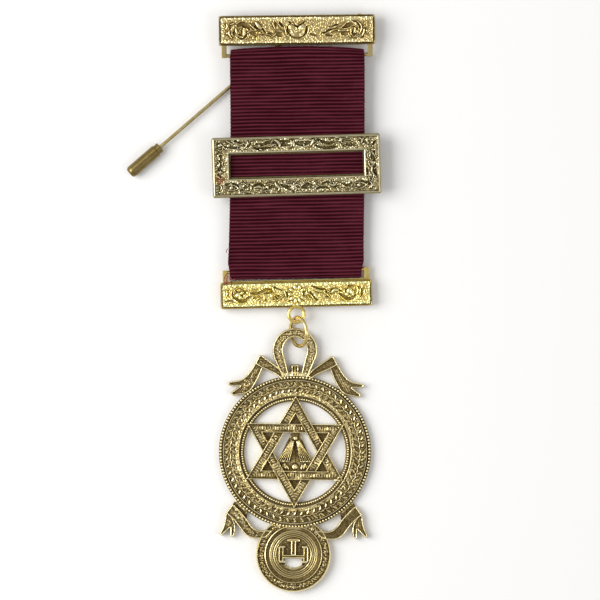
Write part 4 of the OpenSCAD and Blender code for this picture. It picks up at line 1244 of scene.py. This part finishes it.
def ribbon_path(span, n):
    """The ribbon's side view: rows of (y, z, outward y, outward z) round the flat loop, n on its front."""
    fold, flat, run_in = 1.65, 1.15, 6.0

    def half_at(u):
        d = np.clip(np.minimum(u, span - u) / run_in, 0, 1)
        return flat + (fold - flat) * (1 + np.cos(math.pi * d)) / 2

    u = np.linspace(0, span, n + 1)[:-1]
    slope = np.gradient(half_at(u), u)
    tilt = np.hypot(slope, 1)
    a = np.radians(np.linspace(90, -90, 41)[:-1])
    cos, sin = np.cos(a), np.sin(a)
    front = np.stack([u, half_at(u), -slope / tilt, 1 / tilt], 1)
    top = np.stack([span + fold * cos, fold * sin, cos, sin], 1)
    back = np.stack([span - u, -half_at(span - u), slope[::-1] / tilt[::-1], -1 / tilt], 1)
    low = np.stack([-fold * cos, -fold * sin, -cos, -sin], 1)
    return np.concatenate([front, top, back, low])


def loop_faces(rows, cols):
    """Faces of a strip with an outer and an inner skin that closes on itself, and of its two long edges."""
    faces, inside = [], rows * cols
    for r in range(rows):
        t = (r + 1) % rows
        for k in range(cols - 1):
            p, q = r * cols + k, t * cols + k
            faces.append([p, p + 1, q + 1, q])
            faces.append([inside + p, inside + q, inside + q + 1, inside + p + 1])
        p, q = r * cols, t * cols
        faces.append([p, q, inside + q, inside + p])
        p, q = p + cols - 1, q + cols - 1
        faces.append([q, p, inside + p, inside + q])
    return faces


def stray_threads():
    """Loose ends at the ribbon's left edge, as one piece."""
    material, threads = loose_thread(), []
    for k, line in enumerate(STRAY_THREADS):
        flat = through([(x, y) for x, y, _ in line], 6)
        shares = np.linspace(0, 1, len(flat))
        heights = np.interp(shares, np.linspace(0, 1, len(line)), [z for _, _, z in line])
        path = [(x, y, z) for (x, y), z in zip(flat, heights)]
        threads.append(tube(f"thread{k}", path, 0.09, material, 8, where=ON_RIBBON))
    return finish_piece(joined(threads, "stray_threads"), "ribbon_cloth")


def make_ribbon(settings):
    """The ribbed ribbon: one flat loop round both rods."""
    material = ribbon_cloth(settings)
    w, span = settings.width / MM, settings.rod_span / MM
    thick, depth, pitch = settings.thickness / MM, settings.rib_depth / MM, settings.rib_pitch / MM
    rows_per_rib, low_fold = 8, 0.25
    path = ribbon_path(span, int(round(span / pitch)) * rows_per_rib)
    y0, z0, ny, nz = (path[:, [k]] for k in range(4))
    ahead = np.roll(path[:, :2], -1, 0) - path[:, :2]
    along = np.concatenate([[0], np.cumsum(np.hypot(ahead[:, 0], ahead[:, 1]))])
    along, around = along[:-1], along[-1]
    ribs = round(around / pitch)
    share = np.clip(path[:, 0] / span, -0.05, 1.05)
    side_share = [-0.06, 0, 0.04, 0.14, 0.34, 0.66, 0.9, 1, 1.06]
    side_width = [0.968, 0.978, 1.008, 1.0, 0.997, 0.995, 0.998, 0.998, 0.975]
    half = w / 2 * np.interp(share, side_share, side_width)
    middle = 1.35 * share + 0.22 * np.sin(math.pi * share)
    c = np.sin(np.linspace(-1, 1, 33) * math.pi / 2 * 0.93) / math.sin(math.pi / 2 * 0.93)
    x = middle[:, None] + half[:, None] * c[None, :]
    s = along[:, None] + 0.1 * sway(x * 1.3, y0 * 0.8, 4) + 0.02 * np.abs(c)[None, :] ** 6
    # The crest share sets the ribs' height and where the painted highlight falls. The valley share, its
    # opposite, sets the valleys' depth and their painted shade.
    lit_crest = (0.5 + 0.5 * np.cos(2 * math.pi * ribs * s / around)) ** 1.7
    shaded_valley = 1 - lit_crest
    lift = -depth * shaded_valley * (1 + 0.25 * sway(x * 5, s * 2.1, 8))
    arch = 0.55 - 0.75 * np.abs(c + 0.12)[None, :] ** 2.4
    fold_share = np.clip((y0 - span + 1.5) / 3.0, 0, 1)
    low_share = np.clip((1.0 - y0) / 2.6, 0, 1)
    frayed = 0.07 * lit_crest - 0.04 + 0.03 * chance(np.floor(ribs * s / around), 0, 7)
    x = x + c[None, :] ** 15 * frayed
    y = y0 + (arch * fold_share - low_fold * low_share)
    skins = [
        np.stack([x, y + ny * lift, z0 + nz * lift], -1),
        np.stack([x, y - ny * thick + 0 * x, z0 - nz * thick + 0 * x], -1),
    ]
    points = np.concatenate([skin.reshape(-1, 3) for skin in skins])
    # Painted shade: the valleys are marked by their share, and the inner skin, inside the loop between its
    # layers, is painted darker at 0.6.
    marks = np.concatenate([shaded_valley.ravel(), np.full(x.size, 0.6)])
    faces = loop_faces(*x.shape)
    ribbon = make_object("ribbon_cloth", placed(points, ON_RIBBON), faces, material, 60, marks)
    uv = ribbon.data.uv_layers.new(name=CLOTH_MAP)
    places = np.concatenate([np.stack([x.ravel(), s.ravel()], 1)] * 2)
    corners = np.zeros(len(ribbon.data.loops), np.int32)
    ribbon.data.loops.foreach_get("vertex_index", corners)
    uv.data.foreach_set("uv", places[corners].astype(np.float32).ravel())
    stray = stray_threads()
    finish_piece(ribbon, "ribbon_cloth", "ribbon")


# Rings and pin


def make_rings(settings):
    """The jump ring with its joint, and finishes for the pin and its guard."""
    wire = gilt("Ring Wire", settings.ring, (0.2, 0.12, 0.04), 0.2)
    n, joint_at = 120, 35
    radii = [0.44 - 0.07 * math.exp(-(((k - joint_at) / 0.9) ** 2)) for k in range(n)]
    ring = tube("jump_ring_wire", circle_path(3.45, n), radii, wire, 24, True, JUMP_PLACE)
    finish_piece(ring, "gilt_wire", "jump_ring")
    pin = gilt("Pin Wire", settings.pin, (0.14, 0.1, 0.04), 0.3)
    guard = gilt("Guard Brass", settings.guard, (0.1, 0.06, 0.02), 0.32)
    for name, finish in (("stick_pin", pin), ("pin_guard", guard)):
        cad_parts[name].material_slots[0].material = finish


# Pendant. The middle of its wreath lies WREATH_IN inwards from the large ring's edge.

WREATH_IN = 2.88


def cast_gilt(name, settings, rough=0.3):
    """The pendant's worn gilt."""
    return gilt(name, settings.gilt, settings.patina, rough)


def ring_heights(x, y, r, out, hole, leaves):
    """The large ring's levels: bead seats at both edges, ridges, and a band with the stem of its wreath."""
    ground, outer_ground, rim_base = 1.45, 1.25, 1.4
    middle = out - WREATH_IN
    angle = np.degrees(np.arctan2(y, x))
    mat = grains(x, y, 0.42, 61) * 0.17 + grains(x, y, 0.7, 65) * 0.06
    top = ground + mat - 0.18 * (1 - rise(np.abs(r - middle), 1.1, 1.3))
    stem = middle + 0.12 * np.sin(np.radians(angle * leaves))
    top = np.maximum(top, ridge(r, stem, 0.26, 0.16, 1.5))
    top = top + (outer_ground - top) * rise(r, out - 1.5, out - 1.4)
    for at in (out - 1.28, hole + 1.4):
        top = np.maximum(top, ridge(r, at, 0.3, 0.72, rim_base))
    slope = 1.05 + 0.12 * rise(r, hole, hole + 0.4)
    return np.where(r < hole + 1.22, slope + 0.2 * mat, top)


def ring_patina(x, y, r, out, hole):
    """The large ring's darker places: its band, beside its beads, and spots at its lower right."""
    patina = 0.1 * (1 - rise(np.abs(r - (out - WREATH_IN)), 1.1, 1.35))
    patina = patina + 0.3 * (1 - rise(r, hole + 1.1, hole + 1.25))
    patina += 0.4 * rise(grains(x, y, 2.2, 69), 0.4, 0.7) * rise(0.5 * x - y, -3, 14)
    return patina + 0.3 * rise(r, out - 1.15, out - 1.05)


def make_large_ring(settings):
    """The large ring: beads, ridges and a wreath of laurel in its band."""
    material = cast_gilt("Antique Gilt", settings)
    out, hole = settings.ring_radius / MM, settings.opening / MM
    x, y = ring_grid(hole, out - 0.12, 0.11)
    r = np.hypot(x, y)
    top = ring_heights(x, y, r, out, hole, settings.leaves)
    edge = np.maximum(hole + 0.05 - r, r - (out - 0.2))
    patina = ring_patina(x, y, r, out, hole)
    ring = relief("large_ring", x, y, top, edge, ON_PENDANT, material, ring=True, patina=patina)
    finish_piece(ring, CAST_FINISH, "pendant")
    leaves = small_leaves(1.6, 0.66, 0.46, 0.58, material)
    rows = (
        ("outer_beads", small_bead(0.33, material), settings.beads_out, out - 0.58, 1.5, 0.4),
        ("inner_beads", small_bead(0.29, material), settings.beads_in, hole + 0.6, 1.34, 0.9),
        ("wreath", leaves, settings.leaves, out - WREATH_IN, 1.6, 0),
    )
    for seed, (name, piece, count, radius, height, start) in enumerate(rows, 1):
        made = round_ring(name, piece, count, radius, height, start, ON_PENDANT, material, seed)
        finish_piece(made, CAST_FINISH)


def star_triangle(x, y, radius, up):
    """A triangle of the star: distance inwards from its sides, the nearest side, and the run along it."""
    sides = [math.radians(a if up else a + 180) for a in (30, 150, 270)]
    across = np.array([x * math.cos(a) + y * math.sin(a) for a in sides])
    nearest = across.argmax(0)
    run = np.choose(nearest, [-x * math.sin(a) + y * math.cos(a) for a in sides])
    return radius / 2 - across.max(0), nearest, run


def limb_heights(x, y, inward, nearest, run, limb, k):
    """Heights of a triangle's limbs: a grained ground with plain ticks between two raised rims."""
    pitch = 0.62
    grain = grains(x, y, 0.42, 71 + k) * 0.22 - 0.1
    beside = np.abs(((run / pitch) % 1) - 0.5)
    size = 0.3 + 0.7 * chance(np.floor(run / pitch).astype(int), nearest, 75 + k)
    ticks = 0.26 * size * (1 - rise(beside, 0.2, 0.34)) * (1 - rise(np.abs(inward - limb / 2), 0.34, 0.46))
    top = 1.55 + np.maximum(grain, ticks)
    for at in (0.15, limb - 0.15):
        top = np.maximum(top, ridge(inward, at, 0.34, 0.5, 1.5))
    return top


def make_star(settings):
    """The interlaced star with the device in its middle."""
    material = cast_gilt("Star Gilt", settings)
    radius, limb = settings.star_radius / MM, settings.limb / MM
    reach = 13.6
    x, y = square_grid(-reach, -reach, reach, reach, 0.1)
    sector = np.round(np.degrees(np.arctan2(y, x)) / 60).astype(int) % 2
    distance = np.hypot(x, y)
    at_crossing = np.exp(-(((distance - radius * 0.5) / 1.6) ** 2))
    level, ins = [], []
    for k, up in enumerate((True, False)):
        inward, nearest, run = star_triangle(x, y, radius, up)
        over = (sector == 1) if up else (sector == 0)
        high = limb_heights(x, y, inward, nearest, run, limb, k)
        high = high + np.where(over, 0.1, -0.22) * at_crossing + 0.3 * rise(distance, 11.4, 12.2)
        level.append(np.where((inward > 0) & (inward < limb), high, FAR_BELOW))
        ins.append(inward)
    both = (level[0] > 0) & (level[1] > 0)
    upper = np.where(sector == 1, level[0], level[1])
    top = np.where(both, upper, np.maximum(level[0], level[1]))
    limbs = np.minimum(*[np.maximum(-d, d - limb) for d in ins])
    # The small triangles in the star's points are closed by low webs, and their recess marks make them
    # dark. They are a dark sheet of painted shade where the jewel is open and shows the floor in shadow.
    shade_webs = np.minimum(*[np.maximum(limb * 1.02 - d, 0.1 - d) for d in ins])
    shade_web_edge = np.maximum(shade_webs, radius / 2 - distance - 0.1)
    top = np.where(limbs > 0, 0.5 + 0.06 * grains(x, y, 0.5, 83), top)
    device_edge, device = centre_device(x, y, radius / 2 - limb)
    inside_hexagon = np.minimum(*ins) > limb
    top = np.where(inside_hexagon, device, top)
    edge = np.minimum(limbs, np.where(inside_hexagon, device_edge, shade_web_edge))
    grounds = [rise(d, 0.22, 0.36) * (1 - rise(d, limb - 0.36, limb - 0.22)) for d in ins]
    patina = 0.05 * np.maximum(*grounds) * (limbs < 0)
    star = relief("star", x, y, top, edge, ON_PENDANT, material, spread=0.4, patina=patina)
    finish_piece(star, CAST_FINISH)


def centre_device(x, y, r):
    """Heights and outline of the middle: open compasses with rays, their knob up, over a small globe."""
    foot, knob = r * 0.9, r * 0.72
    right = [(r * 0.2, r + 0.1), (foot, -r * 0.5), (foot, -r - 0.1)]
    edge = outline_edge(x, y, [*right, *((-px, py) for px, py in right[::-1])])
    f = Field(x, y)
    f.drop(0.05, knob, r * 0.12, 0.5, 1.2, 90)
    for k in range(5):
        f.drop(0.3 * math.cos(k * 1.26), knob + 0.36 * math.sin(k * 1.26), 0.17, 0.5)
    for side in (-1, 1):
        for k in range(6):
            start = (side * r * (0.07 + 0.02 * k), r * 0.56)
            f.stroke([start, (side * r * (0.3 + 0.12 * k), -r * 0.47)], 0.34, 0.7, 0.85)
        f.stroke([(side * r * 0.2, r * 0.62), (side * foot, -r * 0.5)], 0.34, 0.86, 0.8)
        f.stroke([(side * r * 0.3, -r * 0.5), (side * foot, -r * 0.5)], 0.3, 0.66, 0.8)
        for k in range(4):
            stalk = (side * r * (0.3 + 0.17 * k), -r * 0.98)
            f.leaf(*stalk, 90 - side * (24 - 14 * k), 1.7, 0.6, 0.6, 0.15)
        f.drop(side * r * 0.55, -r * 0.66, 0.36, 0.55, 0.8, 60)
    f.drop(0, -r * 0.8, r * 0.17, 0.55)
    f.stroke([(0, -r * 0.6), (0, r * 0.5)], 0.24, 0.5, 0.8)
    return edge, 0.9 + f.high + 0.08 * grains(x, y, 0.4, 91)


def loop_outline(r, foot_x, foot_y, narrow=1.0):
    """Outline of the hanging loop's head and feet, or of its opening."""
    turns = [math.radians(a) for a in np.linspace(-28, 208, 60)]
    head = [(r * narrow * math.cos(a), 24.1 + r * math.sin(a)) for a in turns]
    return [(foot_x, foot_y), *head, (-foot_x, foot_y)]


def make_hanging_loop(settings):
    """The hanging loop with its keystone."""
    material = cast_gilt("Loop Gilt", settings)
    beads = settings.ring_radius / MM - 0.28
    x, y = square_grid(-5.6, 16.9, 5.6, 29.7, FINE_CELL)
    outer = outline_edge(x, y, loop_outline(5.35, 2.84, 17.3))
    inner = outline_edge(x, y, loop_outline(3.2, 1.54, 18.9, 0.87))
    edge = np.maximum(np.maximum(outer, -inner), beads - np.hypot(x, y))
    ground = 1.74
    top = ground + 0.14 * grains(x, y, 0.4, 101)
    for inward in (-outer, inner):
        top = np.maximum(top, ridge(inward, 0.22, 0.44, 0.4, ground))
    loop = relief("hanging_loop", x, y, top, edge, ON_LOOP, material, back=1.25)
    x, y = square_grid(-3.1, 16.9, 3.1, 21.0, FINE_CELL)
    foot = box_edge(x, y - 18.0, 5.67, 1.8, 0.2)
    key = box_edge(x, y - 18.93, 2.15, 3.65, 0.15)
    f = Field(x, y)
    for dx in (-0.66, 0, 0.66):
        f.stroke([(dx, 17.3), (dx * 0.9, 18.6), (dx * 1.05, 20.3)], 0.4, 0.5, 0.8)
    for line, wide, high in ((20.45, 0.34, 0.36), (18.9, 0.3, 0.34)):
        f.stroke([(-1.0, line), (1.0, line)], wide, high, 0.8)
    top = np.where(key < 0, 1.92 + f.high, 1.8 + 0.1 * grains(x, y, 0.4, 105))
    top = top - 0.15 * (1 - rise(-np.minimum(key, foot), 0, 0.12))
    top = np.where(np.hypot(x, y) < beads, 1.1, top)
    keystone = relief("keystone", x, y, top, np.minimum(foot, key), ON_LOOP, material)
    finish_piece(joined([loop, keystone], "hanging_loop"), CAST_FINISH)


# Outlines of the ribbon ends, as parts of the large ring's radius: rows of (x, y, 1 for a sharp corner)

UPPER_BAND = (
    (-0.14, 0.99, 1), (-0.2, 1.07, 0), (-0.31, 1.15, 0), (-0.45, 1.25, 1), (-0.485, 1.245, 1),
    (-0.54, 1.137, 1), (-0.436, 1.079, 0), (-0.281, 1.012, 0), (-0.2, 0.95, 1),
)
UPPER_TAIL = (
    (-0.527, 1.165, 1), (-0.606, 1.03, 0), (-0.68, 0.945, 0), (-0.765, 0.912, 0), (-0.855, 0.9, 0),
    (-0.895, 0.875, 0), (-0.862, 0.84, 0), (-0.732, 0.842, 1), (-0.85, 0.758, 1), (-0.825, 0.712, 0),
    (-0.743, 0.73, 0), (-0.64, 0.748, 0), (-0.57, 0.8, 0), (-0.485, 0.956, 0), (-0.42, 1.12, 1),
)
LOWER_BAND = (
    (-0.26, -1.02, 1), (-0.37, -1.022, 0), (-0.47, -1.03, 0), (-0.55, -0.975, 0), (-0.611, -0.878, 0),
    (-0.704, -0.77, 0), (-0.769, -0.71, 1), (-0.8, -0.688, 1), (-0.887, -0.807, 1), (-0.788, -0.891, 0),
    (-0.713, -0.985, 0), (-0.64, -1.085, 0), (-0.555, -1.135, 0), (-0.442, -1.136, 1), (-0.36, -1.12, 1),
)
LOWER_TAIL = (
    (-0.862, -0.775, 1), (-0.893, -0.82, 0), (-0.9, -0.93, 0), (-0.935, -1.02, 0), (-0.965, -1.075, 1),
    (-0.937, -1.105, 1), (-0.826, -0.999, 1), (-0.825, -1.11, 1), (-0.8, -1.13, 0), (-0.762, -1.085, 0),
    (-0.757, -0.96, 0), (-0.785, -0.895, 1),
)
LOWER_WEB = (
    (-0.796, -0.692, 1), (-0.74, -0.6, 1), (-0.6, -0.76, 1), (-0.611, -0.878, 1), (-0.704, -0.77, 1),
)


def soft_outline(rows, size, side):
    """An outline with its soft corners cut twice, in millimetres. side is -1 for the left."""
    for _ in range(2):
        cut = []
        for k, (px, py, hard) in enumerate(rows):
            if hard:
                cut.append((px, py, 1))
            else:
                for ox, oy, _h in (rows[k - 1], rows[(k + 1) % len(rows)]):
                    cut.append(((3 * px + ox) / 4, (3 * py + oy) / 4, 0))
        rows = cut
    return [(-side * px * size, py * size) for px, py, _h in rows]


def ribbon_ends(name, layers, box, size, material, seed):
    """Cast ribbon ends on both sides. layers are rows, top, angle of the stripes or None, and the patina on
    the left and on the right, the lowest layer first."""
    x, y = square_grid(*box, 0.1)
    top = np.full(x.shape, 0.5)
    edge = np.full(x.shape, FAR_AWAY)
    patina = np.zeros(x.shape)
    for rows, level, stripe, *tones in layers:
        for side in (-1, 1):
            e = outline_edge(x, y, soft_outline(rows, size, side))
            mat = 0.14 * grains(x, y, 0.4, seed + side) + 0.1 * grains(x, y, 0.9, seed + 5)
            if stripe is not None:
                a = math.radians(stripe if side < 0 else 180 - stripe)
                run = (-x * math.sin(a) + y * math.cos(a)) / 0.46
                lines = 0.1 * np.abs(np.sin(math.pi * run))
                mat = lines + 0.4 * mat if side > 0 else mat + 0.4 * lines
            h = level - 0.1 + mat
            if level > 1:
                h = np.maximum(h, ridge(-e, 0.2, 0.4, 0.42, level - 0.06))
            top = np.where(e < 0, h, top)
            patina = np.where(e < 0, tones[side > 0] * rise(-e, 0.3, 0.45), patina)
            edge = np.minimum(edge, e)
    return relief(name, x, y, top, edge, ON_PENDANT, material, patina=patina)


def make_ribbon_ends(settings):
    """The upper tails and the lower ribbons of the pendant."""
    material = cast_gilt("Tail Gilt", settings, 0.32)
    size = settings.ring_radius / MM
    tails = ((UPPER_TAIL, 1.5, 62, 0.2, 0.22), (UPPER_BAND, 1.7, 28, 0.22, 0.2))
    ribbons = (
        (LOWER_WEB, 0.9, None, 0, 0),
        (LOWER_TAIL, 1.5, 84, 0.14, 0.14),
        (LOWER_BAND, 1.7, -40, 0.2, 0.5),
    )
    pieces = [
        ribbon_ends("upper_tails", tails, (-17, 12.6, 17, 23.4), size, material, 111),
        ribbon_ends("lower_ribbons", ribbons, (-18.2, -21.2, 18.2, -10.6), size, material, 121),
    ]
    for piece in pieces:
        finish_piece(piece, CAST_FINISH)


def small_ring_heights(x, y, r):
    """The small ring's levels: a pebbled band between two rims, a dish, and steps down to the well."""
    top = 1.35 + 0.24 * grains(x, y, 0.44, 131)
    top = np.where(r < 6.8, 1.35 + 0.12 * rise(r, 5.7, 6.4), top)
    for k in range(4):
        inward, down = 0.46 * k, 0.1 * k
        top = np.where(r < 5.48 - inward, 1.3 - down, top)
        top = np.maximum(top, ridge(r, 5.6 - inward, 0.26, 0.2, 1.34 - down))
    for at, wide, high in ((6.72, 0.36, 0.5), (8.7, 0.44, 0.46)):
        top = np.maximum(top, ridge(r, at, wide, high, 1.5))
    return top


def tau_disc(material):
    """The small ring's floor, cut through beside a triple tau."""
    reach, side_bar = 3.95, 2.93
    x, y = square_grid(-reach, -reach, reach, reach, 0.08)
    r = np.hypot(x, y)
    opening = np.maximum(r - 3.18, box_edge(x, y + 2.26, 4.14, 2.89, 0.1))
    bars = [(0, 3.38, 3.1, 0.72), (0, 1.6, 1.25, 3.6), (0, -0.5, 5.9, 0.85)]
    for side in (-side_bar, side_bar):
        bars.append((side, 0, 1.25, 3.6))
        bars += [(side, end, 1.85, 0.5) for end in (-1.78, 1.78)]
    tau = np.full(x.shape, FAR_AWAY)
    for bx, by, bw, bh in bars:
        tau = np.minimum(tau, box_edge(x - bx, y - by, bw, bh, 0.06))
    lines = 0.07 * np.abs(np.sin(math.pi * y / 0.42)) - 0.1
    top = 0.86 + lines + 0.05 * grains(x, y, 0.4, 141)
    top = np.where(tau < 0, np.maximum(1.25, ridge(-tau, 0.18, 0.4, 0.45, 1.3)), top)
    edge = np.maximum(r - 3.8, np.minimum(-opening, tau))
    return relief("tau_disc", x, y, top, edge, ON_SMALL_RING, material)


def make_small_ring(settings):
    """The small ring with its pebbled band, steps and the well that holds a triple tau."""
    material = cast_gilt("Small Ring Gilt", settings)
    x, y = ring_grid(3.55, 9.0, 0.085)
    r = np.hypot(x, y)
    top = small_ring_heights(x, y, r)
    patina = 0.12 * rise(r, 6.85, 7.0) * (1 - rise(r, 8.4, 8.55))
    patina = patina + 0.08 * (1 - rise(np.abs(r - 6.1), 0.35, 0.45))
    under = np.hypot(x, y + SMALL_RING_Y) < settings.ring_radius / MM - 0.45
    top = np.where(under, np.minimum(top, 1.3), top)
    edge = np.maximum(3.62 - r, r - 8.9)
    ring = relief("small_ring", x, y, top, edge, ON_SMALL_RING, material, ring=True, patina=patina)
    finish_piece(joined([ring, tau_disc(material)], "small_ring"), CAST_FINISH)


# Stage


def area_light(name, at, size, power, tint):
    """A soft light that looks at the middle of the jewel."""
    middle = Vector((0.001, 0.036, 0))
    data = bpy.data.lights.new(name, "AREA")
    data.size, data.energy, data.color = size, power, tint
    light = linked(name, data)
    light.location = at
    light.rotation_euler = (middle - light.location).to_track_quat("-Z", "Y").to_euler()


def make_stage(settings):
    """Floor, light and camera."""
    scene = bpy.context.scene
    half = 3.0
    corners = [(-half, -half, 0), (half, -half, 0), (half, half, 0), (-half, half, 0)]
    make_object("floor", corners, [[0, 1, 2, 3]], floor_paper(settings))
    scene.world = bpy.data.worlds.new("Studio")
    scene.world.use_nodes = True
    sky = scene.world.node_tree.nodes["Background"].inputs
    sky["Color"].default_value = (1, 0.99, 0.97, 1)
    sky["Strength"].default_value = 0.52
    area_light("Key", (-0.5, 0.11, 0.5), 0.52, settings.key_power, (1, 0.99, 0.97))
    area_light("Fill", (0.42, -0.1, 0.5), 0.3, settings.key_power * 0.12, (1, 0.98, 0.95))
    camera = linked("camera", bpy.data.cameras.new("camera"))
    camera.data.sensor_width = 36
    camera.data.lens = camera.data.sensor_width * settings.camera_height / settings.view_width
    camera.data.clip_start = 0.01
    camera.location = (0.00119, 0.0361, settings.camera_height)
    scene.camera = camera
    scene.view_settings.view_transform = "Standard"


# Operators, panel and registration


class JEWEL_OT_stage(bpy.types.Operator):
    """Makes the floor, the light and the camera"""

    bl_idname = "jewel.stage"
    bl_label = "Stage"

    def execute(self, context):
        make_stage(context.scene.jewel_stage)
        return {"FINISHED"}


class JEWEL_OT_brooch_bar(bpy.types.Operator):
    """Makes the brooch bar with its bracket and boss"""

    bl_idname = "jewel.brooch_bar"
    bl_label = "Brooch Bar"

    def execute(self, context):
        make_brooch_bar(context.scene.jewel_bars)
        return {"FINISHED"}


class JEWEL_OT_lower_bar(bpy.types.Operator):
    """Makes the lower bar with its bracket and eye"""

    bl_idname = "jewel.lower_bar"
    bl_label = "Lower Bar"

    def execute(self, context):
        make_lower_bar(context.scene.jewel_bars)
        return {"FINISHED"}


class JEWEL_OT_slide_frame(bpy.types.Operator):
    """Makes the slide frame and its rear strap"""

    bl_idname = "jewel.slide_frame"
    bl_label = "Slide Frame"

    def execute(self, context):
        make_slide_frame(context.scene.jewel_slide)
        return {"FINISHED"}


class JEWEL_OT_ribbon(bpy.types.Operator):
    """Makes the ribbed ribbon and its stray threads"""

    bl_idname = "jewel.ribbon"
    bl_label = "Ribbon"

    def execute(self, context):
        make_ribbon(context.scene.jewel_cloth)
        return {"FINISHED"}


class JEWEL_OT_rings(bpy.types.Operator):
    """Makes the jump ring and finishes the pin and its guard"""

    bl_idname = "jewel.rings"
    bl_label = "Jump Ring and Pin"

    def execute(self, context):
        make_rings(context.scene.jewel_wires)
        return {"FINISHED"}


class JEWEL_OT_pendant(bpy.types.Operator):
    """Makes the cast pendant: large ring, star, loop, ribbon ends and small ring"""

    bl_idname = "jewel.pendant"
    bl_label = "Pendant"

    def execute(self, context):
        settings = context.scene.jewel_pendant
        make_large_ring(settings)
        make_star(settings)
        make_hanging_loop(settings)
        make_ribbon_ends(settings)
        make_small_ring(settings)
        return {"FINISHED"}


class JEWEL_PT_sidebar(bpy.types.Panel):
    """Lists the pieces of the jewel"""

    bl_idname = "JEWEL_PT_sidebar"
    bl_label = "Chapter Jewel"
    bl_space_type = "VIEW_3D"
    bl_region_type = "UI"
    bl_category = "Jewel"

    def draw(self, context):
        for step in STEPS:
            self.layout.operator(step.bl_idname)
        for group in SETTINGS:
            settings = getattr(context.scene, group)
            box = self.layout.box()
            for name in settings.__annotations__:
                box.prop(settings, name)


STEPS = (
    JEWEL_OT_stage,
    JEWEL_OT_brooch_bar,
    JEWEL_OT_lower_bar,
    JEWEL_OT_slide_frame,
    JEWEL_OT_ribbon,
    JEWEL_OT_rings,
    JEWEL_OT_pendant,
)
SETTINGS = {
    "jewel_cloth": JewelCloth,
    "jewel_bars": JewelBars,
    "jewel_slide": JewelSlide,
    "jewel_wires": JewelWires,
    "jewel_pendant": JewelPendant,
    "jewel_stage": JewelStage,
}


def register():
    """Registers the settings, the operators and the panel."""
    for name, group in SETTINGS.items():
        bpy.utils.register_class(group)
        setattr(bpy.types.Scene, name, PointerProperty(type=group))
    for step in (*STEPS, JEWEL_PT_sidebar):
        bpy.utils.register_class(step)


def unregister():
    """Takes them all out again."""
    for step in (*STEPS, JEWEL_PT_sidebar):
        bpy.utils.unregister_class(step)
    for name, group in SETTINGS.items():
        delattr(bpy.types.Scene, name)
        bpy.utils.unregister_class(group)


def main():
    """Makes every piece around the frame."""
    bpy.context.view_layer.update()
    register()
    for step in STEPS:
        group, call = step.bl_idname.split(".")
        getattr(getattr(bpy.ops, group), call)()
    bpy.context.view_layer.update()


if __name__ == "__main__":
    main()
